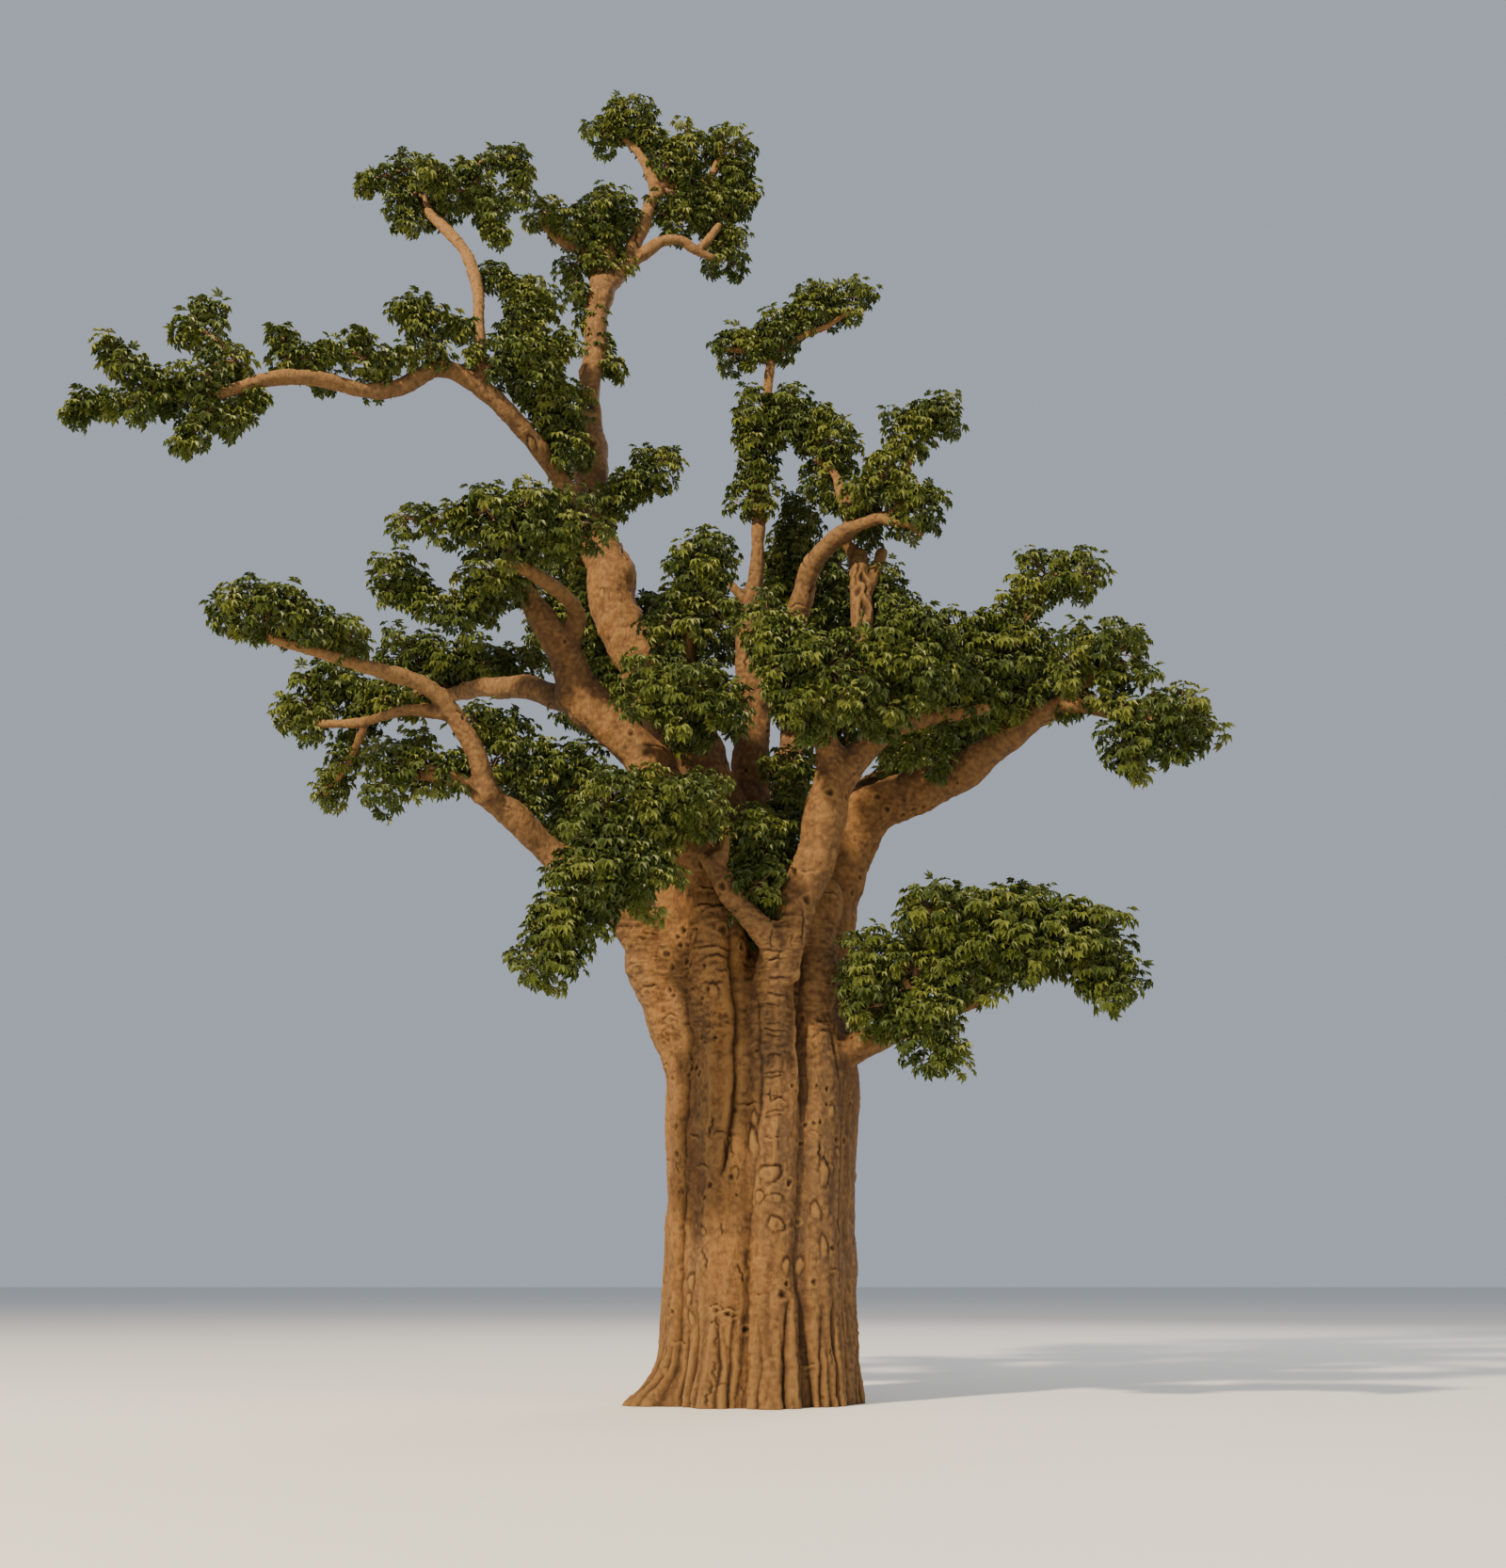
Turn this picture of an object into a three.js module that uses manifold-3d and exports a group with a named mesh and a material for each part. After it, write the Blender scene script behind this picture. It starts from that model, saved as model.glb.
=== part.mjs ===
// A baobab tree: a stout trunk of fused columns, the boughs that fork from it and the dense
// masses of foliage that hug the boughs. Sizes are stated in metres and built in millimetres,
// with +Z up, the origin in the flat cut under the trunk and the view's front towards -Y.

import * as THREE from 'three';
import { mergeVertices } from 'three/addons/utils/BufferGeometryUtils.js';
import Module from 'manifold-3d';

const wasm = await Module();
wasm.setup();

// Driving dimensions, in metres unless said otherwise
const METRE = 1000;
const SAME_CORNER = 1e-5;

// The gaps between touching limbs, between a dense core and its neighbours, and round leaves
const CLEAR = 0.0003;
const CORE_CLEAR = 0.02;
const LEAF_CLEAR = 0.005;

const TRUNK = {
  sides: 44,
  depth: 0.95,
  toeHeight: 0.75,
  // The line inside the trunk that stems grow from
  heart: [[0, 0, 0], [0, -0.6, 6]],
  // Each ring: height, middle x, half width
  rings: [
    [0, -0.05, 1.44], [0.25, -0.04, 1.42], [0.6, -0.03, 1.4], [1.1, -0.02, 1.37],
    [1.8, -0.01, 1.34], [2.6, 0, 1.33], [3.5, 0.01, 1.36], [4.3, 0.02, 1.39],
    [5, -0.02, 1.33], [5.6, -0.08, 1.22], [6.2, -0.1, 1.02], [6.7, -0.1, 0.72],
  ],
  // Each column: angle of its crest in degrees, depth of the fold after it, reach of its toe
  columns: [
    [25, 0.13, 0.16], [60, 0.1, 0.1], [95, 0.15, 0.18], [130, 0.1, 0.12], [168, 0.12, 0.1],
    [205, 0.1, 0.48], [245, 0.22, 0.12], [279, 0.15, 0.22], [317, 0.1, 0.06], [352, 0.1, 0.04],
  ],
};

// Each bough: the limb that carries it, then points of x, y, z and radius from root to tip
const BOUGHS = {
  left_low: ['trunk', [-0.85, -0.2, 4.4, 0.5], [-1.3, -0.3, 5.45, 0.44], [-1.8, -0.6, 6.4, 0.34],
    [-2.95, -1.2, 7.4, 0.21], [-3.9, -1.8, 8.2, 0.17]],
  left_low_rise: ['left_low', [-3.75, -1.75, 8, 0.16], [-4, -2, 8.75, 0.13],
    [-4.5, -2.3, 9.4, 0.12], [-5.35, -2.8, 9.6, 0.09], [-6.45, -3.4, 9.75, 0.05]],
  left_mid: ['trunk', [-0.5, -0.75, 4.9, 0.42], [-0.55, -0.9, 6.05, 0.39], [-0.8, -1, 6.95, 0.34],
    [-1.5, -0.9, 8.6, 0.34], [-2.7, -0.5, 9.95, 0.3]],
  left_mid_arm: ['left_mid', [-2.55, -0.5, 9.8, 0.21], [-3.85, 0.4, 10.35, 0.17],
    [-5.05, 1.8, 10.65, 0.11]],
  left_mid_stub: ['left_mid', [-2.65, -0.5, 9.85, 0.28], [-2.85, -0.7, 10.45, 0.26],
    [-3.4, -1.1, 11.25, 0.17]],
  left_mid_rise: ['left_mid_stub', [-2.85, -0.7, 10.5, 0.16], [-2.7, -1, 11, 0.14],
    [-2.85, -1.4, 11.15, 0.12], [-3.5, -2.2, 11.35, 0.08]],
  tall: ['trunk', [-0.1, 0.15, 5.6, 0.6], [-0.3, 0.2, 7.35, 0.52], [-1.3, 0.3, 9.85, 0.44],
    [-2, 0.4, 11.1, 0.4], [-2.7, 0.7, 13.8, 0.3], [-2.75, 1, 15.7, 0.19],
    [-2.65, 1.3, 17.75, 0.22]],
  high_left: ['tall', [-2.8, 0.6, 13.05, 0.18], [-3.1, -0.2, 13.6, 0.15],
    [-4.3, -1.2, 14.65, 0.14], [-4.75, -1.4, 14.75, 0.13], [-5.45, -1.8, 14.2, 0.13],
    [-6.75, -2.6, 14, 0.1], [-7.55, -3.1, 13.45, 0.07]],
  high_rise: ['high_left', [-4.2, -1.2, 14.65, 0.1], [-4.35, -0.9, 16.2, 0.09],
    [-4.6, -0.5, 17.2, 0.09], [-5.4, 0.1, 18.4, 0.07]],
  top_right: ['tall', [-2.65, 1.25, 17.6, 0.16], [-2.3, 1.5, 18.2, 0.14], [-1.85, 1.8, 19.7, 0.1],
    [-1.6, 2, 20.3, 0.08]],
  centre: ['trunk', [-0.1, 0.5, 5.9, 0.36], [-0.15, 0.6, 7, 0.34], [-0.1, 0.9, 9.75, 0.27],
    [-0.15, 1.1, 11.75, 0.19], [-0.05, 1.2, 12.8, 0.11], [0, 1.4, 14.45, 0.1],
    [0.2, 1.6, 16.5, 0.07]],
  centre_arch: ['centre', [-0.05, 0.95, 10.2, 0.19], [0.35, 0.7, 10.85, 0.19],
    [0.8, 0.2, 12.2, 0.16], [1.2, -0.1, 12.6, 0.16], [2.25, -0.6, 12.85, 0.07]],
  right_front: ['trunk', [0.15, -1, 4.7, 0.3], [0.2, -1.2, 5.6, 0.28], [0.75, -1.2, 7.3, 0.32],
    [1, -1.25, 8.05, 0.28], [1.05, -1.3, 8.6, 0.24], [0.9, -1.6, 8.95, 0.16]],
  right_front_arm: ['right_front', [1.1, -1.3, 8.4, 0.2], [1.45, -1.3, 8.8, 0.2],
    [1.9, -1.4, 9.15, 0.16], [3.15, -1.7, 9.35, 0.08]],
  right_twist: ['right_front_arm', [1.6, -1.3, 8.95, 0.14], [1.6, -0.5, 10.2, 0.15],
    [1.55, 0, 11.45, 0.16], [1.55, 0.3, 12.45, 0.13]],
  right_main: ['trunk', [0.8, -0.1, 4.9, 0.46], [1.05, 0.1, 7.05, 0.43], [1.35, 0.1, 7.9, 0.45],
    [1.85, -0.1, 8.35, 0.38], [3.1, -0.7, 8.85, 0.25], [3.95, -1.2, 9.35, 0.17],
    [4.35, -1.5, 9.45, 0.13], [5.55, -2.1, 9, 0.07]],
  right_low: ['trunk', [0.95, -0.4, 4.5, 0.28], [1.55, -0.6, 4.85, 0.2], [2.3, -1.1, 5.05, 0.12],
    [2.95, -1.5, 5.25, 0.08]],
  front_fork: ['trunk', [0.35, -1.15, 5.6, 0.22], [0, -1.5, 6.2, 0.17], [-0.5, -1.65, 6.8, 0.13],
    [-0.6, -1.6, 7.2, 0.1]],
  back_left: ['trunk', [-0.5, 0.4, 5.8, 0.38], [-1.05, 1.6, 8.2, 0.31], [-2.1, 3.6, 11.2, 0.2],
    [-3, 4.8, 12.7, 0.13]],
  back_mid: ['trunk', [0.1, 0.5, 5.9, 0.38], [0.35, 1.9, 8.6, 0.31], [0.8, 3.8, 11.6, 0.2],
    [0.95, 5.1, 13.1, 0.13]],
  back_right: ['trunk', [0.5, 0.4, 5.8, 0.38], [1.15, 1.6, 8.15, 0.29], [2.7, 3.6, 10.3, 0.19],
    [4.2, 4.7, 11.5, 0.12]],
  back_low_left: ['trunk', [-0.7, 0.5, 4.8, 0.34], [-1.5, 1.7, 6.6, 0.26], [-2.4, 3.3, 8.1, 0.14]],
  back_low_right: ['trunk', [0.8, 0.5, 4.6, 0.34], [1.9, 1.6, 6, 0.25], [3.4, 2.9, 7, 0.13]],
};

// Each mass of foliage: the bough that carries it, then lumps of x, y, z and radius
const MASSES = {
  far_left_tip: ['high_left', [-7.8, -3.1, 13.9, 0.45], [-8, -2.9, 14.8, 0.4],
    [-7.25, -2.8, 14.25, 0.4], [-8.55, -3.3, 13.6, 0.4], [-9.1, -3.4, 14.05, 0.35],
    [-7.65, -3.1, 12.85, 0.4], [-9.35, -3.5, 13.2, 0.3]],
  far_left_run: ['high_left', [-6.7, -2.6, 14.4, 0.4], [-5.9, -2.2, 14.6, 0.4],
    [-5.05, -1.6, 15.05, 0.35], [-5.05, -1.5, 15.65, 0.45]],
  high_left: ['high_left', [-4, -1.2, 15.05, 0.4], [-3.55, -0.9, 15.05, 0.5],
    [-3.15, -0.5, 14.6, 0.5], [-3.7, -0.6, 15.95, 0.4], [-3.55, -0.4, 16.5, 0.4]],
  high_rise: ['high_rise', [-5.3, 0.1, 18.75, 0.45], [-5.95, 0.1, 18.9, 0.45],
    [-6.25, 0.1, 18.65, 0.35], [-4.7, 0.1, 18.75, 0.5], [-4.05, 0.2, 19.2, 0.45],
    [-4.35, 0, 18, 0.3]],
  top_left: ['tall', [-2.7, 1.3, 19.05, 0.4], [-3.2, 1.2, 18.9, 0.4], [-3.65, 1.2, 19.1, 0.3],
    [-2.85, 1.2, 18.3, 0.25]],
  top_mid: ['top_right', [-1.6, 2, 20.65, 0.45], [-1.25, 2.1, 20.3, 0.45], [-2.3, 1.8, 21.4, 0.45],
    [-2.75, 1.8, 21.05, 0.3], [-1.2, 2.1, 21, 0.4]],
  top_right: ['top_right', [-0.65, 2.2, 19.6, 0.4], [-0.4, 2.3, 20.2, 0.4],
    [-0.5, 2.2, 21, 0.45], [-0.6, 2.2, 18.85, 0.35]],
  left_shelf: ['left_mid_rise', [-3.6, -2.2, 11.7, 0.4], [-3.3, -2.3, 12, 0.5],
    [-2.7, -2.2, 11.9, 0.5], [-3.85, -2.3, 12.1, 0.4], [-4.5, -2.1, 12, 0.3],
    [-5, -2.1, 12.05, 0.25]],
  shelf_tuft: ['tall', [-2.25, 0.2, 13.4, 0.3], [-1.95, 0.2, 13.65, 0.35],
    [-1.6, 0.2, 13.95, 0.4]],
  left_inner: ['left_mid_stub', [-3.9, -1.7, 11.35, 0.45], [-4.1, -1.6, 10.8, 0.3],
    [-4.75, -1.6, 11, 0.3], [-5.2, -1.6, 11.4, 0.4]],
  left_fan: ['left_mid_arm', [-5.1, 1.9, 11.2, 0.5], [-5.75, 1.9, 11.4, 0.45],
    [-4.35, 1.6, 11.15, 0.4], [-3.75, 1.4, 11.1, 0.3]],
  left_tip: ['left_low_rise', [-6.55, -3.4, 10.2, 0.45], [-6.95, -3.4, 10.15, 0.35],
    [-6, -3.2, 10.05, 0.35], [-5.55, -2.9, 9.95, 0.3]],
  left_drop: ['left_low_rise', [-5.05, -1.4, 9.6, 0.3], [-5.65, -1.2, 9.65, 0.35],
    [-6.15, -1.2, 9.95, 0.35], [-6.5, -1.1, 9.6, 0.45], [-5.75, -1.2, 9, 0.25],
    [-6.1, -1.1, 8.4, 0.3]],
  left_low_tip: ['left_low', [-4.6, -2, 8.4, 0.3], [-4.95, -2, 8.5, 0.35],
    [-5.2, -2, 8.1, 0.3]],
  left_low: ['left_low', [-3.2, -0.75, 8.7, 0.45], [-3.7, -0.85, 8.9, 0.45],
    [-2.65, -0.6, 8.8, 0.45]],
  front_left: ['left_mid', [-1.4, -2.6, 7.75, 0.55], [-1.95, -2.8, 7.6, 0.55],
    [-0.85, -2.4, 7.8, 0.45], [-2.15, -2.9, 6.8, 0.6], [-1.6, -2.75, 6.75, 0.5],
    [-2.5, -3.05, 6.2, 0.5], [-2.7, -3.1, 5.6, 0.45]],
  centre_front: ['tall', [-0.95, -1.9, 9.45, 0.6], [-1.5, -1.8, 9.6, 0.5],
    [-0.5, -1.9, 9.3, 0.45]],
  centre_rise: ['tall', [-1.15, -1.2, 10.75, 0.5], [-0.7, -1.2, 11.05, 0.45],
    [-0.95, -1.3, 11.5, 0.45], [-0.7, -1.2, 12, 0.35]],
  centre_top: ['centre', [-0.1, 1.2, 13.9, 0.4], [0, 1.1, 15.2, 0.5], [0.55, 1, 15.2, 0.5],
    [1.1, 0.9, 14.85, 0.45], [1.3, 0.9, 14.35, 0.35]],
  centre_tip: ['centre', [0.3, 1.6, 17.05, 0.4], [-0.35, 1.5, 16.75, 0.4], [0.9, 1.7, 17.65, 0.4],
    [1.6, 1.7, 17.8, 0.35]],
  arch_tip: ['centre_arch', [2.35, -0.6, 12.95, 0.5], [1.9, -0.6, 13.4, 0.35],
    [2.3, -0.6, 14.2, 0.4], [2.8, -0.6, 14.45, 0.35]],
  front_mid: ['right_front', [0.55, -2.4, 9.25, 0.5], [0.45, -2.6, 9.75, 0.55],
    [0.95, -2.65, 9.6, 0.6], [0.1, -2.4, 10.3, 0.4]],
  front_right: ['right_front_arm', [1.7, -2.3, 9.3, 0.5], [1.6, -2.5, 9.8, 0.5],
    [2.2, -2.4, 9.85, 0.6], [2.05, -2.4, 10.4, 0.4]],
  crotch: ['trunk', [-0.05, -1.5, 6.85, 0.4], [-0.1, -1.1, 7.65, 0.45], [0.35, -0.8, 7.8, 0.35],
    [0.45, -0.1, 8.95, 0.4]],
  right_crown: ['right_main', [3.4, -1.3, 9.75, 0.5], [3.65, -1.4, 10.2, 0.6],
    [3.2, -1.3, 10.6, 0.4], [4.15, -1.3, 11.5, 0.4], [4.65, -1.3, 11.55, 0.4]],
  right_outer: ['right_main', [4.45, -1.8, 9.9, 0.6], [4.95, -1.9, 10.05, 0.55]],
  right_reach: ['right_main', [5.4, -2.2, 9.05, 0.6], [5.85, -2.2, 8.95, 0.5],
    [5.1, -2.2, 8.6, 0.45]],
  right_low_inner: ['right_low', [1.5, -1.25, 5.3, 0.4], [1.5, -1.3, 5.85, 0.45],
    [2.35, -1.6, 4.95, 0.4]],
  right_low: ['right_low', [2.8, -1.6, 5.7, 0.5], [2.4, -1.6, 6.45, 0.5], [3.1, -1.7, 6.2, 0.6],
    [3.75, -1.8, 6.15, 0.6], [4.4, -1.95, 6, 0.6], [4.7, -2, 5.4, 0.4]],
  back_left: ['back_left', [-3, 4.9, 13.2, 0.7], [-3.7, 4.7, 13.7, 0.65], [-2.2, 5, 13, 0.65]],
  back_left_inner: ['back_left', [-2.5, 3.1, 11.4, 0.6], [-2.3, 2.6, 12.1, 0.5],
    [-3, 3.5, 11.1, 0.5]],
  back_mid: ['back_mid', [0.9, 5.2, 13.7, 0.75], [0.15, 5.1, 13.3, 0.65], [1.7, 5.1, 13.2, 0.7]],
  back_mid_inner: ['back_mid', [1.4, 3, 11.3, 0.55], [1.4, 2.7, 10.4, 0.5],
    [0.9, 2.6, 11.9, 0.5]],
  back_right: ['back_right', [4.3, 4.8, 12, 0.75], [5, 4.5, 11.8, 0.65], [3.5, 5, 12, 0.6]],
  back_low_left: ['back_low_left', [-2.5, 3.5, 8.6, 0.65], [-3.1, 3.3, 9, 0.55],
    [-1.8, 3.7, 8.9, 0.55]],
  back_low_right: ['back_low_right', [3.5, 3, 7.2, 0.6], [4.2, 2.8, 7.3, 0.6],
    [2.9, 3.3, 7.3, 0.5]],
};

// Boughs: those with a root radius under THIN_BOUGH have fewer sides
const BOUGH_SIDES = 8;
const THIN_SIDES = 6;
const THIN_BOUGH = 0.17;
const STEPS_PER_POINT = 2;

// Stems and twigs: a joint of two cores is firm above FIRM_JOINT cubic millimetres of overlap
const STEM_RADIUS = 0.05;
const STEM_SPACING = 0.3;
const STEM_PLACES = 40;
const TWIG_SIDES = 3;
const TWIG_TAPER = 0.6;
const FIRM_JOINT = 3e5;

// Cores and sprays, as shares of a lump's radius, and a spray's section as shares of its length
const CORE_ROUGH = [0.84, 1.14];
const LARGE_LUMP = 0.6;
const SPRAYS_PER_LUMP = 1;
const SPRAYS_PER_LARGE_LUMP = 2;
const SPRAY_TRIES = 12;
const SPRAY_ROOT = 0.6;
const SPRAY_REACH = [1.25, 1.45];
const SPRAY_WIDTH = 0.42;
const SPRAY_THICKNESS = 0.16;
const SPRAY_DROOP = 0.18;
const GOLDEN_ANGLE = Math.PI * (3 - Math.sqrt(5));
const UP = new THREE.Vector3(0, 0, 1);

// Seeds: each mass adds its place in the list. The rule is a linear congruential generator
const CORE_SEED = 1;
const SPRAY_SEED = 101;
const SEED_FACTOR = 1664525;
const SEED_STEP = 1013904223;
const SEED_STATES = 2 ** 32;

const BARK = new THREE.MeshStandardMaterial({ color: 0x8d7463, roughness: 0.85, metalness: 0 });
const FOLIAGE = new THREE.MeshStandardMaterial({ color: 0x4f6b2c, roughness: 0.7, metalness: 0 });

// A repeatable run of numbers from 0 to 1
function numbersFrom(seed) {
  let state = seed;
  return () => {
    state = (state * SEED_FACTOR + SEED_STEP) % SEED_STATES;
    return state / SEED_STATES;
  };
}

// A geometry with position alone, and each corner once
function cornersOf(geometry) {
  const bare = geometry.clone();
  bare.deleteAttribute('normal');
  bare.deleteAttribute('uv');
  return mergeVertices(bare, SAME_CORNER);
}

// A closed three.js geometry in metres as a solid in millimetres
function solidOf(geometry) {
  const merged = cornersOf(geometry).scale(METRE, METRE, METRE);
  return new wasm.Manifold(new wasm.Mesh({
    numProp: 3,
    vertProperties: merged.attributes.position.array,
    triVerts: new Uint32Array(merged.index.array),
  }));
}

// A solid as a named mesh
function meshOf(name, solid, material) {
  const { vertProperties, triVerts, numProp } = solid.getMesh();
  const corners = new Float32Array((vertProperties.length / numProp) * 3);
  for (let i = 0; i < corners.length / 3; i += 1) {
    corners.set(vertProperties.subarray(i * numProp, i * numProp + 3), i * 3);
  }
  const geometry = new THREE.BufferGeometry();
  geometry.setAttribute('position', new THREE.BufferAttribute(corners, 3));
  geometry.setIndex(new THREE.BufferAttribute(new Uint32Array(triVerts), 1));
  geometry.computeVertexNormals();
  const mesh = new THREE.Mesh(geometry, material);
  mesh.name = name;
  return mesh;
}

// The value at a place along rows of [place, value, ...], for each value of the row
function between(rows, place) {
  let i = 0;
  while (i < rows.length - 2 && rows[i + 1][0] < place) {
    i += 1;
  }
  const [low, high] = [rows[i], rows[i + 1]];
  const part = THREE.MathUtils.clamp((place - low[0]) / (high[0] - low[0]), 0, 1);
  return low.slice(1).map((value, k) => value + (high[k + 1] - value) * part);
}

// How far the trunk's skin lies inside its crests, and how far its toes reach, at an angle
function trunkRelief(degrees, height) {
  const count = TRUNK.columns.length;
  const angle = (degrees + 360) % 360;
  let i = TRUNK.columns.findLastIndex(([crest]) => crest <= angle);
  i = i < 0 ? count - 1 : i;
  const [crest, fold, toe] = TRUNK.columns[i];
  const [next, , nextToe] = TRUNK.columns[(i + 1) % count];
  const part = ((angle - crest + 360) % 360) / ((next - crest + 360) % 360);
  const ridge = Math.sqrt(Math.abs(Math.cos(Math.PI * part)));
  const spread = Math.max(0, 1 - height / TRUNK.toeHeight) ** 2;
  const reach = (part < 0.5 ? toe : nextToe) * Math.abs(Math.cos(Math.PI * part)) * spread;
  return reach - fold * (1 - ridge);
}

// The trunk, from its flat cut to the fork, with every side moved out by swell
function trunkSolid(swell) {
  const steps = TRUNK.rings.length - 1;
  const geometry = new THREE.CylinderGeometry(1, 1, steps, TRUNK.sides, steps);
  const corners = geometry.attributes.position;
  for (let i = 0; i < corners.count; i += 1) {
    const ring = Math.round(corners.getY(i) + steps / 2);
    const [height, middle, halfWidth] = TRUNK.rings[ring];
    const out = Math.hypot(corners.getX(i), corners.getZ(i));
    const angle = Math.atan2(-corners.getZ(i), corners.getX(i));
    const relief = trunkRelief(THREE.MathUtils.radToDeg(angle), height);
    const radius = out * (halfWidth + relief + swell);
    corners.setXYZ(i, middle + radius * Math.cos(angle), radius * Math.sin(angle) * TRUNK.depth,
      height + (ring === steps ? swell : 0));
  }
  return solidOf(geometry);
}

// A limb: a tapering tube through its points, with every side moved out by swell
function limbSolid(points, swell) {
  const spans = points.length - 1;
  const steps = spans * STEPS_PER_POINT;
  const curve = new THREE.CatmullRomCurve3(points.map(([x, y, z]) => new THREE.Vector3(x, y, z)));
  const girths = points.map(([, , , radius], i) => [i / spans, radius]);
  const sides = points[0][3] < THIN_BOUGH ? THIN_SIDES : BOUGH_SIDES;
  const geometry = new THREE.CylinderGeometry(1, 1, steps, sides, steps);
  const corners = geometry.attributes.position;
  const turn = new THREE.Quaternion();
  const corner = new THREE.Vector3();
  for (let i = 0; i < corners.count; i += 1) {
    const ring = Math.round(corners.getY(i) + steps / 2);
    const along = ring / steps;
    const heading = curve.getTangent(along);
    const radius = between(girths, along)[0] + swell;
    const end = (ring === steps ? swell : 0) - (ring === 0 ? swell : 0);
    turn.setFromUnitVectors(UP, heading);
    corner.set(corners.getX(i) * radius, -corners.getZ(i) * radius, end).applyQuaternion(turn);
    corner.add(curve.getPoint(along));
    corners.setXYZ(i, corner.x, corner.y, corner.z);
  }
  return solidOf(geometry);
}

// The one body of a solid that counts: loose scraps are dropped and sealed hollows filled
function mainBody(solid) {
  const bodies = solid.decompose();
  return bodies.reduce((best, body) => (body.volume() > best.volume() ? body : best));
}

// A geometry made along +Y from 0 to 1, laid from one point to another
function layBetween(geometry, start, end, width, thickness) {
  const heading = end.clone().sub(start);
  const side = new THREE.Vector3().crossVectors(heading, UP).normalize();
  const normal = new THREE.Vector3().crossVectors(side, heading).normalize();
  const place = new THREE.Matrix4().makeBasis(
    side.multiplyScalar(width),
    heading,
    normal.multiplyScalar(thickness),
  );
  return geometry.applyMatrix4(place.setPosition(start));
}

// A three-sided twig that tapers from one point to another
function twigSolid(start, end, radius) {
  const prism = new THREE.CylinderGeometry(TWIG_TAPER, 1, 1, TWIG_SIDES, 1).translate(0, 0.5, 0);
  return solidOf(layBetween(prism, start, end, radius, radius));
}

// A spray of leaves as one flat blade of eight faces
function spraySolid(start, end) {
  const length = start.distanceTo(end);
  const blade = new THREE.OctahedronGeometry(0.5).translate(0, 0.5, 0);
  return solidOf(layBetween(blade, start, end, SPRAY_WIDTH * length, SPRAY_THICKNESS * length));
}

// The dense middle of a lump, with a rough skin
function coreSolid([x, y, z, radius], random, swell) {
  const core = cornersOf(new THREE.IcosahedronGeometry(1));
  core.rotateX(random() * Math.PI).rotateZ(random() * Math.PI);
  const corners = core.attributes.position;
  const corner = new THREE.Vector3();
  for (let i = 0; i < corners.count; i += 1) {
    const out = radius * THREE.MathUtils.lerp(...CORE_ROUGH, random()) + swell;
    corner.fromBufferAttribute(corners, i).multiplyScalar(out);
    corners.setXYZ(i, corner.x + x, corner.y + y, corner.z + z);
  }
  return solidOf(core);
}

// Where a limb passes nearest to a point, away from the places that are taken
function nearestOnLimb(name, goal, taken) {
  const points = name === 'trunk' ? TRUNK.heart : BOUGHS[name].slice(1);
  const curve = new THREE.CatmullRomCurve3(points.map(([x, y, z]) => new THREE.Vector3(x, y, z)));
  const free = curve.getPoints(STEM_PLACES).filter((place) => (
    taken.every((other) => place.distanceTo(other) > STEM_SPACING)));
  return free.reduce((best, place) => (
    place.distanceTo(goal) < best.distanceTo(goal) ? place : best));
}

// The stem of a mass runs to its first lump, and each other lump is joined to the nearest one
// joined before, by a twig where their cores don't meet
function growTwigs(root, lumps, pieces) {
  const rest = lumps.map(([x, y, z], i) => (
    { place: new THREE.Vector3(x, y, z), piece: pieces[i] }));
  const joined = [rest.shift()];
  const twigs = [[root, joined[0].place]];
  while (rest.length > 0) {
    let best = null;
    for (const goal of rest) {
      for (const from of joined) {
        const length = from.place.distanceTo(goal.place);
        if (best === null || length < best.length) {
          best = { from, goal, length };
        }
      }
    }
    const { from, goal } = best;
    if (from.piece.intersect(goal.piece).volume() < FIRM_JOINT) {
      twigs.push([from.place, goal.place]);
    }
    joined.push(goal);
    rest.splice(rest.indexOf(goal), 1);
  }
  return twigs;
}

// The sprays that a lump tries: evenly spread directions, each drooping a little at its end
function spraysOf([x, y, z, radius], random) {
  const middle = new THREE.Vector3(x, y, z);
  const turn = random() * Math.PI * 2;
  const sprays = [];
  for (let i = 0; i < SPRAY_TRIES; i += 1) {
    const rise = 1 - (2 * i + 1) / SPRAY_TRIES;
    const flat = Math.sqrt(1 - rise * rise);
    const angle = turn + i * GOLDEN_ANGLE;
    const out = new THREE.Vector3(flat * Math.cos(angle), flat * Math.sin(angle), rise);
    const reach = radius * THREE.MathUtils.lerp(...SPRAY_REACH, random());
    const start = middle.clone().addScaledVector(out, radius * SPRAY_ROOT);
    const end = middle.clone().addScaledVector(out, reach);
    end.z -= SPRAY_DROOP * radius;
    sprays.push({ start, end, order: random() });
  }
  return sprays.sort((a, b) => a.order - b.order);
}

// Whether the boxes of two solids come within a core's clearance of each other
function near(solid, other) {
  const [a, b] = [solid.boundingBox(), other.boundingBox()];
  const gap = CORE_CLEAR * METRE;
  return [0, 1, 2].every((k) => a.min[k] - gap < b.max[k] && b.min[k] - gap < a.max[k]);
}

// Whether a solid keeps a gap to all the others
function clearOf(solid, others, gap) {
  return others.every((other) => (
    !near(solid, other) || solid.minGap(other, gap * METRE * 2) >= gap * METRE));
}

// A solid with the others cut out of it
function cutBy(solid, others) {
  return others.reduce((rest, other) => (near(rest, other) ? rest.subtract(other) : rest), solid);
}

// Several solids as one
function joinAll(solids) {
  return solids.reduce((all, solid) => all.add(solid));
}

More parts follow.
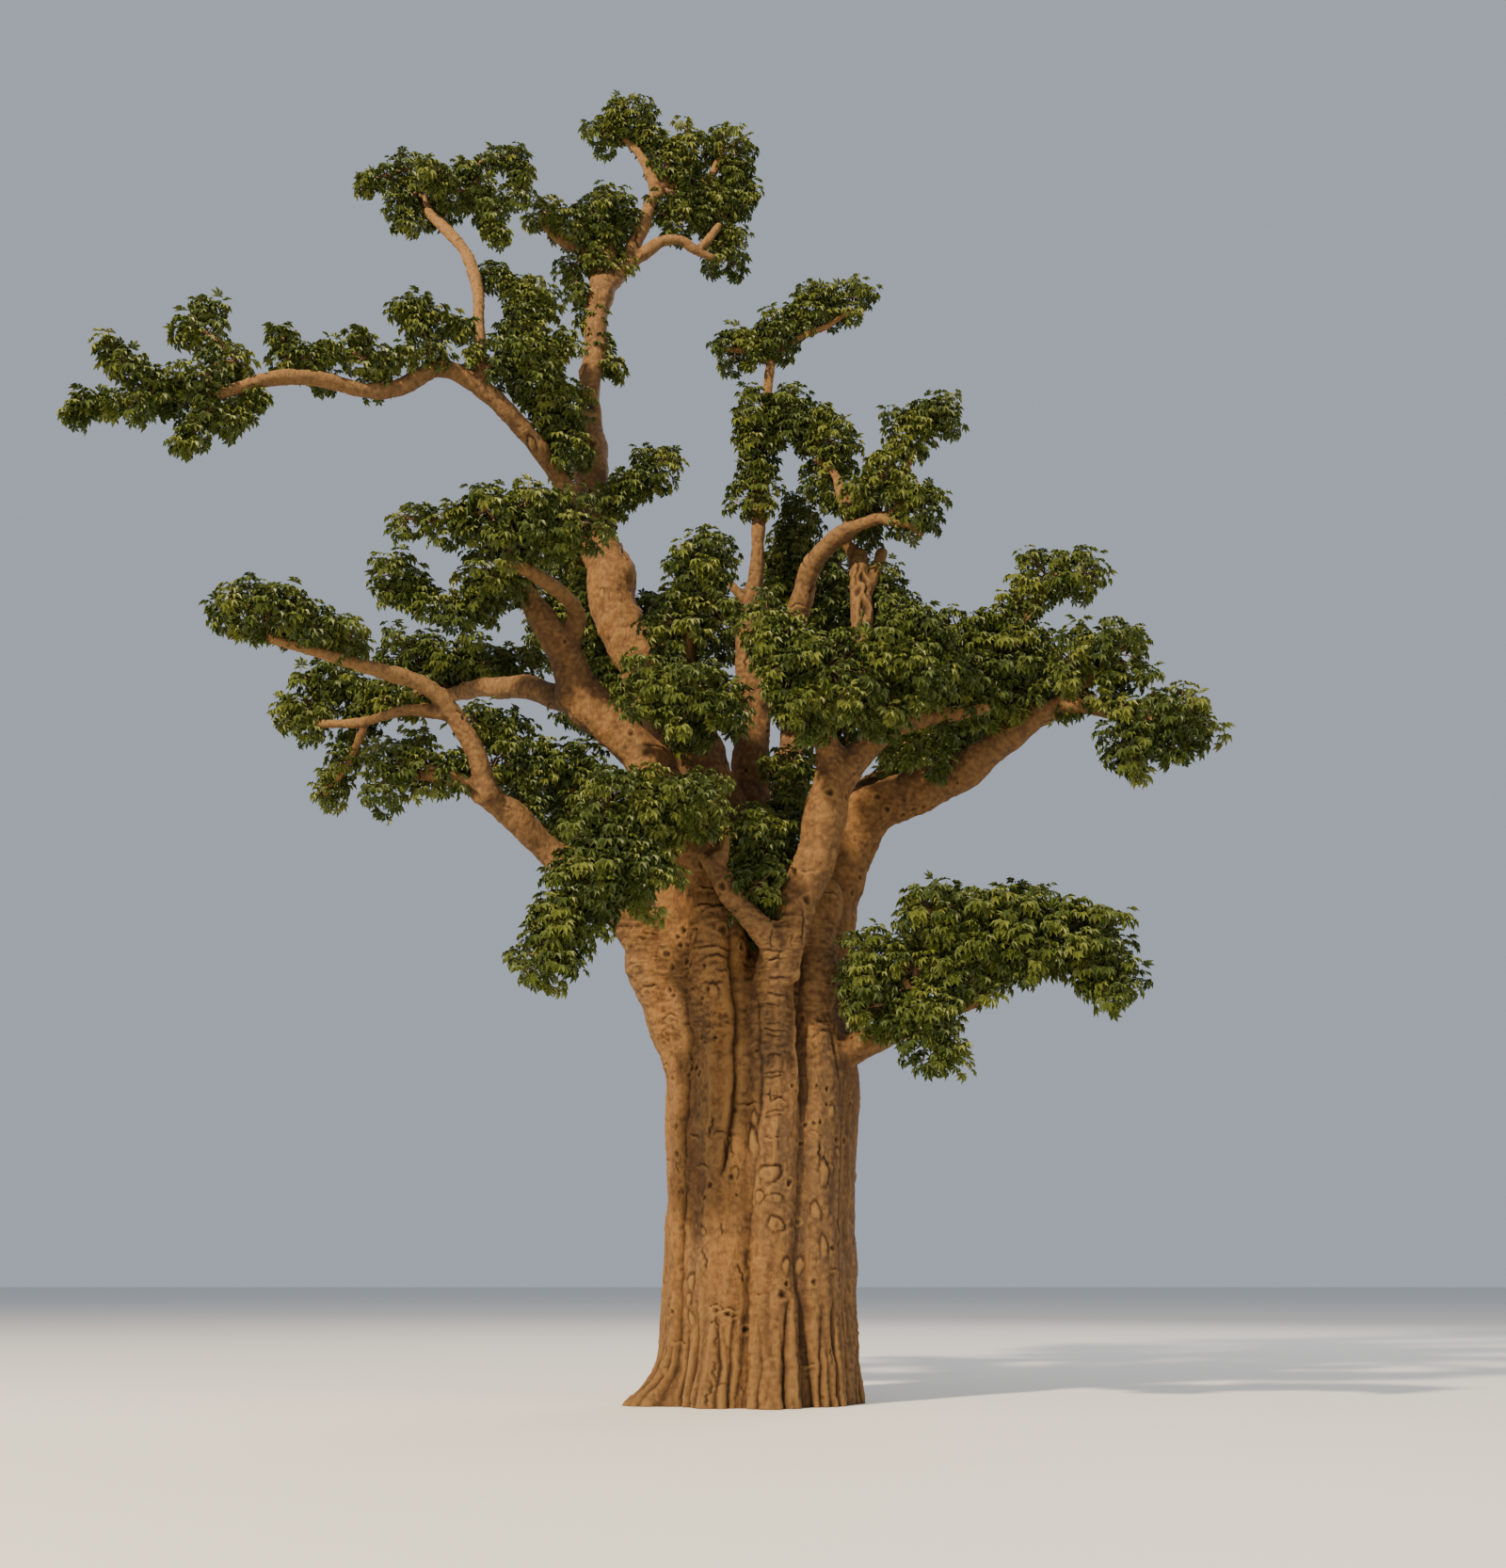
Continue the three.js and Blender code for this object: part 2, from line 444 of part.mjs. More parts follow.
// The limbs, each cut clear of those before it
const limbs = { trunk: trunkSolid(0) };
const limbsWide = { trunk: trunkSolid(CLEAR) };
const limbsWider = { trunk: trunkSolid(CORE_CLEAR) };
for (const [name, [, ...points]] of Object.entries(BOUGHS)) {
  limbs[name] = mainBody(cutBy(limbSolid(points, 0), Object.values(limbsWide)));
  limbsWide[name] = limbSolid(points, CLEAR);
  limbsWider[name] = limbSolid(points, CORE_CLEAR);
}

// The lumps of each mass, and the stem and twigs that join them to its bough
const lumpSolids = {};
const lumpsWider = {};
const stems = {};
const stemsWider = {};
const roots = [];
Object.entries(MASSES).forEach(([name, [bough, ...lumps]], index) => {
  const [[x, y, z]] = lumps;
  const root = nearestOnLimb(bough, new THREE.Vector3(x, y, z), roots);
  const rough = (swell) => {
    const random = numbersFrom(index + CORE_SEED);
    return lumps.map((lump) => coreSolid(lump, random, swell));
  };
  lumpSolids[name] = rough(0);
  lumpsWider[name] = joinAll(rough(CORE_CLEAR));
  const twigs = growTwigs(root, lumps, lumpSolids[name]);
  const branch = (radius) => joinAll(twigs.map(([from, goal]) => twigSolid(from, goal, radius)));
  stems[name] = branch(STEM_RADIUS);
  stemsWider[name] = branch(STEM_RADIUS + CORE_CLEAR);
  roots.push(root);
});

// The core of each mass, clear of the limbs, of the other masses' twigs and of earlier cores
const massNames = Object.keys(MASSES);
const othersOf = (name) => massNames.filter((other) => other !== name);
const cores = {};
massNames.forEach((name, index) => {
  cores[name] = cutBy(joinAll(lumpSolids[name]), [
    ...Object.values(limbsWider),
    ...massNames.slice(0, index).map((other) => lumpsWider[other]),
    ...othersOf(name).map((other) => stemsWider[other]),
  ]);
});

// The masses: core and twigs, with the sprays of leaves that stand out of them
const masses = {};
Object.entries(MASSES).forEach(([name, [, ...lumps]], index) => {
  const random = numbersFrom(index + SPRAY_SEED);
  const foreign = othersOf(name).flatMap((other) => (
    masses[other] ? [masses[other]] : [cores[other], stems[other]]));
  const obstacles = [...Object.values(limbs), ...foreign];
  let mass = cores[name].add(stems[name]);
  for (const lump of lumps) {
    const wanted = lump[3] < LARGE_LUMP ? SPRAYS_PER_LUMP : SPRAYS_PER_LARGE_LUMP;
    let kept = 0;
    for (const { start, end } of spraysOf(lump, random)) {
      const spray = spraySolid(start, end);
      const buried = lumps.some(([x, y, z, radius]) => (
        end.distanceTo(new THREE.Vector3(x, y, z)) < radius));
      const rooted = near(spray, cores[name]) && cores[name].minGap(spray, 1) === 0;
      if (kept < wanted && !buried && rooted && clearOf(spray, obstacles, LEAF_CLEAR)) {
        mass = mass.add(spray);
        kept += 1;
      }
    }
  }
  masses[name] = mainBody(cutBy(mass, Object.values(limbsWide)));
});

const tree = new THREE.Group();
for (const [name, solid] of Object.entries(limbs)) {
  tree.add(meshOf(name === 'trunk' ? name : `bough_${name}`, solid, BARK));
}
for (const [name, solid] of Object.entries(masses)) {
  tree.add(meshOf(`foliage_${name}`, solid, FOLIAGE));
}

export default tree;
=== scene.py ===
"""The looks of a baobab tree: bark with folds and scars, twigs, and sprays of palmate leaves.

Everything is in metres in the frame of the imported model, with +Z up and the front towards -Y.
"""

import math
from itertools import product

import bmesh
import bpy
import numpy as np
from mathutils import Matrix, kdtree


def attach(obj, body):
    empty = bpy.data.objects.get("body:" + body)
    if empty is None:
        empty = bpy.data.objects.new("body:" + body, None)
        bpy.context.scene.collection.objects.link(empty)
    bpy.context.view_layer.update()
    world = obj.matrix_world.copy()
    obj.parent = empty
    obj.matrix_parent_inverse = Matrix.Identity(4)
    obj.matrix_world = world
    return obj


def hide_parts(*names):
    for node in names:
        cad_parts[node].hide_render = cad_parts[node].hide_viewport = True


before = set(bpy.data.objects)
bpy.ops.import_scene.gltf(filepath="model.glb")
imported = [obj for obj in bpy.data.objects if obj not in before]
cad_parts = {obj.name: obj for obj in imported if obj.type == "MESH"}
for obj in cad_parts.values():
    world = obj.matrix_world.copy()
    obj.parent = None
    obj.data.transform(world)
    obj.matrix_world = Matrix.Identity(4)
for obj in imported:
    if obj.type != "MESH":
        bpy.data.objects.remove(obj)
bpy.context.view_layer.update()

# Camera: where the photographer stood, looking along +Y and up at the tree
EYE = (-0.1, -26.0, 1.6)
TILT_UP = math.radians(15.27)
LENS = 41.7
SENSOR = 36.0
FAR_CLIP = 900.0

# Studio. Each light: name, place, point it looks at, diameter, power in watts, colour
LIGHTS = (
    ("key", (-32, -37, 46), (0, 0, 9), 4, 91000, (1.0, 0.79, 0.52)),
    ("fill", (30, -24, 22), (0, 0, 9), 24, 5000, (1.0, 0.86, 0.66)),
    ("rim", (18, 34, 30), (0, 0, 10), 20, 8000, (1.0, 0.93, 0.85)),
)
SKY_COLOUR = (0.78, 0.86, 1.0, 1)
SKY_STRENGTH = 0.5
FLOOR_COLOUR = (0.72, 0.72, 0.7, 1)
FLOOR_ROUGHNESS = 0.9
FLOOR_HALF = 400
FLOOR_DROP = 0.004

# The trunk, as in the part's source. Each ring: height, middle x, half width
DEPTH = 0.95
TOE_HEIGHT = 0.75
HEART = ((0, 0, 0), (0, -0.6, 6))
RINGS = (
    (0, -0.05, 1.44), (0.25, -0.04, 1.42), (0.6, -0.03, 1.4), (1.1, -0.02, 1.37),
    (1.8, -0.01, 1.34), (2.6, 0, 1.33), (3.5, 0.01, 1.36), (4.3, 0.02, 1.39), (5, -0.02, 1.33),
    (5.6, -0.08, 1.22), (6.2, -0.1, 1.02), (6.7, -0.1, 0.72),
)
# Each column: angle of its crest in degrees, depth of the fold after it, reach of its toe
COLUMNS = (
    (25, 0.13, 0.16), (60, 0.1, 0.1), (95, 0.15, 0.18), (130, 0.1, 0.12), (168, 0.12, 0.1),
    (205, 0.1, 0.48), (245, 0.22, 0.12), (279, 0.15, 0.22), (317, 0.1, 0.06), (352, 0.1, 0.04),
)

# Each bough: the limb that carries it, then points of x, y, z and radius from root to tip
BOUGHS = {
    "left_low": (
        "trunk", (-0.85, -0.2, 4.4, 0.5), (-1.3, -0.3, 5.45, 0.44), (-1.8, -0.6, 6.4, 0.34),
        (-2.95, -1.2, 7.4, 0.21), (-3.9, -1.8, 8.2, 0.17)
    ),
    "left_low_rise": (
        "left_low", (-3.75, -1.75, 8, 0.16), (-4, -2, 8.75, 0.13), (-4.5, -2.3, 9.4, 0.12),
        (-5.35, -2.8, 9.6, 0.09), (-6.45, -3.4, 9.75, 0.05)
    ),
    "left_mid": (
        "trunk", (-0.5, -0.75, 4.9, 0.42), (-0.55, -0.9, 6.05, 0.39), (-0.8, -1, 6.95, 0.34),
        (-1.5, -0.9, 8.6, 0.34), (-2.7, -0.5, 9.95, 0.3)
    ),
    "left_mid_arm": (
        "left_mid", (-2.55, -0.5, 9.8, 0.21), (-3.85, 0.4, 10.35, 0.17), (-5.05, 1.8, 10.65, 0.11)
    ),
    "left_mid_stub": (
        "left_mid", (-2.65, -0.5, 9.85, 0.28), (-2.85, -0.7, 10.45, 0.26),
        (-3.4, -1.1, 11.25, 0.17)
    ),
    "left_mid_rise": (
        "left_mid_stub", (-2.85, -0.7, 10.5, 0.16), (-2.7, -1, 11, 0.14),
        (-2.85, -1.4, 11.15, 0.12), (-3.5, -2.2, 11.35, 0.08)
    ),
    "tall": (
        "trunk", (-0.1, 0.15, 5.6, 0.6), (-0.3, 0.2, 7.35, 0.52), (-1.3, 0.3, 9.85, 0.44),
        (-2, 0.4, 11.1, 0.4), (-2.7, 0.7, 13.8, 0.3), (-2.75, 1, 15.7, 0.19),
        (-2.65, 1.3, 17.75, 0.22)
    ),
    "high_left": (
        "tall", (-2.8, 0.6, 13.05, 0.18), (-3.1, -0.2, 13.6, 0.15), (-4.3, -1.2, 14.65, 0.14),
        (-4.75, -1.4, 14.75, 0.13), (-5.45, -1.8, 14.2, 0.13), (-6.75, -2.6, 14, 0.1),
        (-7.55, -3.1, 13.45, 0.07)
    ),
    "high_rise": (
        "high_left", (-4.2, -1.2, 14.65, 0.1), (-4.35, -0.9, 16.2, 0.09), (-4.6, -0.5, 17.2, 0.09),
        (-5.4, 0.1, 18.4, 0.07)
    ),
    "top_right": (
        "tall", (-2.65, 1.25, 17.6, 0.16), (-2.3, 1.5, 18.2, 0.14), (-1.85, 1.8, 19.7, 0.1),
        (-1.6, 2, 20.3, 0.08)
    ),
    "centre": (
        "trunk", (-0.1, 0.5, 5.9, 0.36), (-0.15, 0.6, 7, 0.34), (-0.1, 0.9, 9.75, 0.27),
        (-0.15, 1.1, 11.75, 0.19), (-0.05, 1.2, 12.8, 0.11), (0, 1.4, 14.45, 0.1),
        (0.2, 1.6, 16.5, 0.07)
    ),
    "centre_arch": (
        "centre", (-0.05, 0.95, 10.2, 0.19), (0.35, 0.7, 10.85, 0.19), (0.8, 0.2, 12.2, 0.16),
        (1.2, -0.1, 12.6, 0.16), (1.7, -0.35, 12.75, 0.09), (2.25, -0.6, 12.85, 0.04)
    ),
    "right_front": (
        "trunk", (0.15, -1, 4.7, 0.3), (0.2, -1.2, 5.6, 0.28), (0.75, -1.2, 7.3, 0.32),
        (1, -1.25, 8.05, 0.28), (1.05, -1.3, 8.6, 0.24), (0.9, -1.6, 8.95, 0.16)
    ),
    "right_front_arm": (
        "right_front", (1.1, -1.3, 8.4, 0.2), (1.45, -1.3, 8.8, 0.2), (1.9, -1.4, 9.15, 0.16),
        (3.15, -1.7, 9.35, 0.08)
    ),
    "right_twist": (
        "right_front_arm", (1.6, -1.3, 8.95, 0.14), (1.6, -0.5, 10.2, 0.15), (1.55, 0, 11.45, 0.16),
        (1.55, 0.3, 12.45, 0.13)
    ),
    "right_main": (
        "trunk", (0.8, -0.1, 4.9, 0.46), (1.05, 0.1, 7.05, 0.43), (1.35, 0.1, 7.9, 0.45),
        (1.85, -0.1, 8.35, 0.38), (3.1, -0.7, 8.85, 0.25), (3.95, -1.2, 9.35, 0.17),
        (4.35, -1.5, 9.45, 0.13), (5.55, -2.1, 9, 0.07)
    ),
    "right_low": (
        "trunk", (0.95, -0.4, 4.5, 0.28), (1.55, -0.6, 4.85, 0.2), (2.3, -1.1, 5.05, 0.12),
        (2.95, -1.5, 5.25, 0.08)
    ),
    "front_fork": (
        "trunk", (0.35, -1.15, 5.6, 0.24), (0, -1.48, 6.2, 0.2), (-0.5, -1.62, 6.8, 0.16),
        (-0.6, -1.6, 7.2, 0.12)
    ),
    "back_left": (
        "trunk", (-0.5, 0.4, 5.8, 0.38), (-1.05, 1.6, 8.2, 0.31), (-2.1, 3.6, 11.2, 0.2),
        (-3, 4.8, 12.7, 0.13)
    ),
    "back_mid": (
        "trunk", (0.1, 0.5, 5.9, 0.38), (0.35, 1.9, 8.6, 0.31), (0.8, 3.8, 11.6, 0.2),
        (0.95, 5.1, 13.1, 0.13)
    ),
    "back_right": (
        "trunk", (0.5, 0.4, 5.8, 0.38), (1.15, 1.6, 8.15, 0.29), (2.7, 3.6, 10.3, 0.19),
        (4.2, 4.7, 11.5, 0.12)
    ),
    "back_low_left": (
        "trunk", (-0.7, 0.5, 4.8, 0.34), (-1.5, 1.7, 6.6, 0.26), (-2.4, 3.3, 8.1, 0.14)
    ),
    "back_low_right": ("trunk", (0.8, 0.5, 4.6, 0.34), (1.9, 1.6, 6, 0.25), (3.4, 2.9, 7, 0.13)),
}

# Each mass of foliage: the bough that carries it, then lumps of x, y, z and radius
MASSES = {
    "far_left_tip": (
        "high_left", (-7.72, -3.1, 13.79, 0.28), (-7.77, -3, 14.45, 0.22),
        (-7.8, -2.95, 14.88, 0.18), (-8.07, -3, 14.55, 0.16), (-7.39, -2.9, 14.1, 0.2),
        (-8.36, -3.2, 13.54, 0.22), (-8.58, -3.25, 13.74, 0.22), (-8.83, -3.3, 13.9, 0.18),
        (-9.05, -3.3, 14.12, 0.14), (-8.57, -3.3, 13.2, 0.15), (-9.22, -3.45, 13.2, 0.12),
        (-9.28, -3.5, 13, 0.08), (-7.62, -3.15, 13.2, 0.18), (-7.79, -3.1, 12.95, 0.16),
        (-7.93, -3.1, 12.74, 0.12), (-7.38, -3, 13.1, 0.13), (-7.08, -2.8, 13.58, 0.1),
        (-7.7, -2.3, 14, 0.3), (-8.3, -2.6, 13.6, 0.25)
    ),
    "far_left_run": (
        "high_left", (-6.82, -2.45, 14.37, 0.16), (-6.88, -2.4, 14.75, 0.12),
        (-6.53, -2.35, 14.44, 0.17), (-6.23, -2.3, 14.58, 0.14), (-5.84, -2.1, 14.6, 0.18),
        (-5.86, -2.1, 14.92, 0.12), (-5.51, -1.95, 14.6, 0.17), (-5.22, -1.8, 14.78, 0.16),
        (-4.86, -1.6, 14.91, 0.2), (-5.11, -1.55, 15.39, 0.16), (-5.05, -1.55, 15.72, 0.22),
        (-5.32, -1.6, 15.66, 0.15), (-4.77, -1.5, 15.48, 0.2), (-4.45, -1.45, 15.42, 0.13),
        (-6.4, -1.9, 14.4, 0.2), (-5.7, -1.6, 14.5, 0.2)
    ),
    "high_left": (
        "high_left", (-4, -1.2, 15.05, 0.4), (-3.55, -0.9, 15.05, 0.5), (-3.15, -0.5, 14.6, 0.5),
        (-3.7, -0.6, 15.95, 0.4), (-3.55, -0.4, 16.5, 0.4), (-4.23, -0.3, 17.03, 0.3),
        (-3.3, -0.6, 15.6, 0.45), (-3.0, -0.3, 14.0, 0.4)
    ),
    "high_rise": (
        "high_rise", (-5.57, 0.1, 18.8, 0.28), (-5.04, 0.1, 18.75, 0.27), (-5.71, 0.1, 19.2, 0.21),
        (-6.1, 0.1, 19.08, 0.2), (-6.38, 0.1, 18.95, 0.14), (-5.83, 0.05, 18.53, 0.21),
        (-5.73, 0.05, 18.18, 0.14), (-4.79, 0.15, 19.23, 0.18), (-4.57, 0.15, 18.88, 0.25),
        (-4.36, 0.2, 19.43, 0.2), (-4.05, 0.2, 19.52, 0.18), (-3.9, 0.2, 19.22, 0.18),
        (-4.36, 0, 18.35, 0.23), (-4.25, 0, 18, 0.16), (-5.4, 0.7, 18.8, 0.3),
        (-4.6, 0.7, 18.9, 0.3), (-5.2, -0.5, 18.75, 0.3), (-3.98, 0.3, 18.93, 0.2)
    ),
    "top_left": (
        "tall", (-2.7, 1.3, 19.05, 0.4), (-3.2, 1.2, 18.9, 0.4), (-3.65, 1.2, 19.1, 0.3),
        (-2.85, 1.2, 18.3, 0.25), (-2.53, 1.5, 19.48, 0.36), (-2.24, 1.6, 19.12, 0.29),
        (-2.59, 1.5, 18.8, 0.26), (-2.41, 1.5, 18.24, 0.22), (-3.18, 1.3, 18.08, 0.18),
        (-2.43, 1.1, 16.13, 0.23)
    ),
    "top_mid": (
        "top_right", (-1.6, 2, 20.65, 0.45), (-1.25, 2.1, 20.3, 0.45), (-2.3, 1.8, 21.4, 0.45),
        (-2.75, 1.8, 21.05, 0.3), (-1.2, 2.1, 21, 0.4)
    ),
    "top_right": (
        "top_right", (-0.65, 2.2, 19.6, 0.4), (-0.4, 2.3, 20.2, 0.4), (-0.5, 2.2, 21, 0.45),
        (-0.6, 2.2, 18.85, 0.35), (-1.41, 2.0, 19.43, 0.36), (-1.01, 2.0, 19.8, 0.38),
        (-1.74, 1.9, 19.55, 0.25)
    ),
    "left_shelf": (
        "left_mid_rise", (-3.6, -2.2, 11.7, 0.4), (-3.3, -2.3, 12, 0.5), (-2.7, -2.2, 11.9, 0.5),
        (-3.85, -2.3, 12.1, 0.4), (-4.5, -2.1, 12, 0.3), (-5, -2.1, 12.05, 0.25)
    ),
    "shelf_tuft": (
        "tall", (-2.25, 0.2, 13.4, 0.3), (-1.95, 0.2, 13.65, 0.35), (-1.6, 0.2, 13.95, 0.4)
    ),
    "left_inner": (
        "left_mid_stub", (-3.9, -1.7, 11.35, 0.45), (-4.1, -1.6, 10.8, 0.3), (-4.75, -1.6, 11, 0.3),
        (-5.2, -1.6, 11.4, 0.4)
    ),
    "left_fan": (
        "left_mid_arm", (-5.1, 1.9, 11.2, 0.5), (-5.75, 1.9, 11.4, 0.45), (-4.35, 1.6, 11.15, 0.4),
        (-3.75, 1.4, 11.1, 0.3)
    ),
    "left_tip": (
        "left_low_rise", (-6.55, -3.4, 10.2, 0.45), (-6.95, -3.4, 10.15, 0.35),
        (-6, -3.2, 10.05, 0.35), (-5.55, -2.9, 9.95, 0.3)
    ),
    "left_drop": (
        "left_low_rise", (-5.05, -1.4, 9.6, 0.3), (-5.65, -1.2, 9.65, 0.35),
        (-6.15, -1.2, 9.95, 0.35), (-6.5, -1.1, 9.6, 0.45), (-5.75, -1.2, 9, 0.25),
        (-6.1, -1.1, 8.4, 0.3), (-6.4, -1.4, 9.3, 0.28), (-5.3, -1.6, 9.5, 0.25),
        (-5.85, -1.35, 8.75, 0.2)
    ),
    "left_low_tip": (
        "left_low", (-4.6, -2, 8.4, 0.3), (-4.95, -2, 8.5, 0.35), (-5.2, -2, 8.1, 0.3),
        (-4.21, -1.8, 8.52, 0.17), (-4.73, -2.0, 8.73, 0.16)
    ),
    "left_low": (
        "left_low", (-3.2, -0.75, 8.7, 0.45), (-3.7, -0.85, 8.9, 0.45), (-2.65, -0.6, 8.8, 0.45),
        (-3.73, -0.7, 9.33, 0.32), (-4.14, -1.2, 9.36, 0.24), (-2.7, -0.8, 8.1, 0.3)
    ),
    "front_left": (
        "left_mid", (-1.4, -2.6, 7.75, 0.55), (-1.95, -2.8, 7.6, 0.55), (-0.85, -2.4, 7.8, 0.45),
        (-2.15, -2.9, 6.8, 0.6), (-1.6, -2.75, 6.75, 0.5), (-2.5, -3.05, 6.2, 0.5),
        (-2.7, -3.1, 5.6, 0.45), (-1.55, -2.4, 7.2, 0.45), (-2.0, -2.6, 7.3, 0.5)
    ),
    "centre_front": (
        "tall", (-0.95, -1.9, 9.45, 0.6), (-1.5, -1.8, 9.6, 0.5), (-0.5, -1.9, 9.3, 0.45)
    ),
    "centre_rise": (
        "tall", (-1.15, -1.2, 10.75, 0.5), (-0.7, -1.2, 11.05, 0.45), (-0.95, -1.3, 11.5, 0.45),
        (-0.7, -1.2, 12, 0.35)
    ),
    "centre_top": (
        "centre", (-0.1, 1.2, 13.9, 0.4), (0, 1.1, 15.2, 0.5), (0.55, 1, 15.2, 0.5),
        (1.1, 0.9, 14.85, 0.45), (1.3, 0.9, 14.35, 0.35)
    ),
    "centre_tip": (
        "centre", (0.3, 1.6, 17.05, 0.4), (-0.35, 1.5, 16.75, 0.4), (0.9, 1.7, 17.65, 0.4),
        (1.6, 1.7, 17.8, 0.35)
    ),
    "arch_tip": (
        "centre_arch", (2.35, -0.6, 12.95, 0.5), (1.9, -0.6, 13.4, 0.35), (2.3, -0.6, 14.2, 0.4),
        (2.8, -0.6, 14.45, 0.35), (1.57, -0.2, 13.32, 0.32), (1.75, 0.3, 12.91, 0.24),
        (0.97, 1.2, 14.15, 0.31)
    ),
    "front_mid": (
        "right_front", (0.55, -2.4, 9.25, 0.5), (0.45, -2.6, 9.75, 0.55), (0.95, -2.65, 9.6, 0.6),
        (0.1, -2.4, 10.3, 0.4)
    ),
    "front_right": (
        "right_front_arm", (1.7, -2.3, 9.3, 0.5), (1.6, -2.5, 9.8, 0.5), (2.2, -2.4, 9.85, 0.6),
        (2.05, -2.4, 10.4, 0.4), (2.07, -0.9, 9.06, 0.3), (2.47, -0.9, 8.92, 0.24),
        (2.95, -1.6, 9.7, 0.45)
    ),
    "crotch": (
        "trunk", (-0.05, -1.5, 6.85, 0.4), (-0.1, -1.1, 7.65, 0.45), (0.35, -0.8, 7.8, 0.35),
        (0.45, -0.1, 8.95, 0.4)
    ),
    "right_crown": (
        "right_main", (3.4, -1.3, 9.75, 0.5), (3.65, -1.4, 10.2, 0.6), (3.2, -1.3, 10.6, 0.4),
        (4.15, -1.3, 11.5, 0.4), (4.65, -1.3, 11.55, 0.4), (1.88, 0.5, 12.15, 0.4),
        (2.09, 0.5, 11.76, 0.35), (1.95, 0.3, 11.2, 0.35)
    ),
    "right_outer": ("right_main", (4.45, -1.8, 9.9, 0.6), (4.95, -1.9, 10.05, 0.55)),
    "right_reach": (
        "right_main", (5.4, -2.2, 9.05, 0.6), (5.85, -2.2, 8.95, 0.5), (5.1, -2.2, 8.6, 0.45)
    ),
    "right_low_inner": (
        "right_low", (1.5, -1.25, 5.3, 0.4), (1.5, -1.3, 5.85, 0.45), (2.35, -1.6, 4.95, 0.4)
    ),
    "right_low": (
        "right_low", (2.8, -1.6, 5.7, 0.5), (2.4, -1.6, 6.45, 0.5), (3.1, -1.7, 6.2, 0.6),
        (3.75, -1.8, 6.15, 0.6), (4.4, -1.95, 6, 0.6), (4.7, -2, 5.4, 0.4),
        (2.24, -1.5, 4.72, 0.35), (2.58, -1.5, 4.55, 0.24), (2.1, -1.4, 5.7, 0.35)
    ),
    "back_left": (
        "back_left", (-3, 4.9, 13.2, 0.7), (-3.7, 4.7, 13.7, 0.65), (-2.2, 5, 13, 0.65),
        (-2.6, 4.3, 11.9, 0.5), (-3.6, 4.2, 12.5, 0.5), (-2.9, 3.9, 13.2, 0.45),
        (-3.0, 3.6, 14.3, 0.45)
    ),
    "back_left_inner": (
        "back_left", (-2.5, 3.1, 11.4, 0.6), (-2.3, 2.6, 12.1, 0.5), (-3, 3.5, 11.1, 0.5),
        (-1.8, 1.9, 10.4, 0.45), (-2.4, 2.0, 10.9, 0.5), (-1.5, 2.0, 11.6, 0.5),
        (-1.3, 2.4, 12.4, 0.45), (-2.6, 2.2, 12.2, 0.45), (-3.2, 2.0, 13.6, 0.45),
        (-3.0, 2.2, 14.6, 0.4)
    ),
    "back_mid": (
        "back_mid", (0.9, 5.2, 13.7, 0.75), (0.15, 5.1, 13.3, 0.65), (1.7, 5.1, 13.2, 0.7),
        (0.9, 4.4, 12.2, 0.5), (0.2, 4.2, 11.7, 0.45), (1.6, 4.3, 12.0, 0.45),
        (0.9, 3.9, 12.9, 0.45), (0.6, 3.6, 13.6, 0.45)
    ),
    "back_mid_inner": (
        "back_mid", (1.4, 3, 11.3, 0.55), (1.4, 2.7, 10.4, 0.5), (0.9, 2.6, 11.9, 0.5),
        (0.69, 2.2, 14.01, 0.36), (0.53, 2.2, 13.42, 0.42), (1.34, 2.2, 13.12, 0.38),
        (1.02, 2.2, 12.75, 0.44), (0.49, 2.2, 12.72, 0.4), (0.3, 2.4, 11.0, 0.45),
        (-0.3, 2.3, 11.9, 0.45)
    ),
    "back_right": (
        "back_right", (4.3, 4.8, 12, 0.75), (5, 4.5, 11.8, 0.65), (3.5, 5, 12, 0.6),
        (3.2, 3.6, 10.9, 0.5), (2.6, 3.2, 11.3, 0.45), (3.0, 2.8, 10.1, 0.5), (2.3, 2.2, 9.6, 0.5),
        (2.2, 2.4, 10.6, 0.45), (3.6, 2.6, 10.6, 0.45)
    ),
    "back_low_left": (
        "back_low_left", (-2.5, 3.5, 8.6, 0.65), (-3.1, 3.3, 9, 0.55), (-1.8, 3.7, 8.9, 0.55),
        (-2.2, 2.7, 8.0, 0.5), (-3.1, 2.6, 8.5, 0.45), (-2.0, 2.4, 7.2, 0.4),
        (-2.6, 2.2, 8.8, 0.45)
    ),
    "back_low_right": (
        "back_low_right", (3.5, 3, 7.2, 0.6), (4.2, 2.8, 7.3, 0.6), (2.9, 3.3, 7.3, 0.5),
        (3.0, 2.3, 6.8, 0.45), (2.4, 2.2, 6.4, 0.4), (3.2, 1.2, 6.2, 0.45), (3.9, 1.0, 6.4, 0.45)
    ),
}

# Where a limb's column starts inside the trunk, below the bough: x, y, z and radius
FEET = {
    "left_low": (-0.7, -0.15, 3.0, 0.46), "left_mid": (-0.4, -0.74, 3.3, 0.36),
    "right_front": (0.19, -0.94, 3.2, 0.27), "right_main": (0.62, -0.1, 3.2, 0.46),
    "right_low": (0.78, -0.42, 3.3, 0.26), "tall": (-0.1, 0.1, 4.4, 0.6),
    "back_low_left": (-0.45, 0.55, 3.2, 0.36), "back_low_right": (0.5, 0.6, 3.1, 0.36),
}

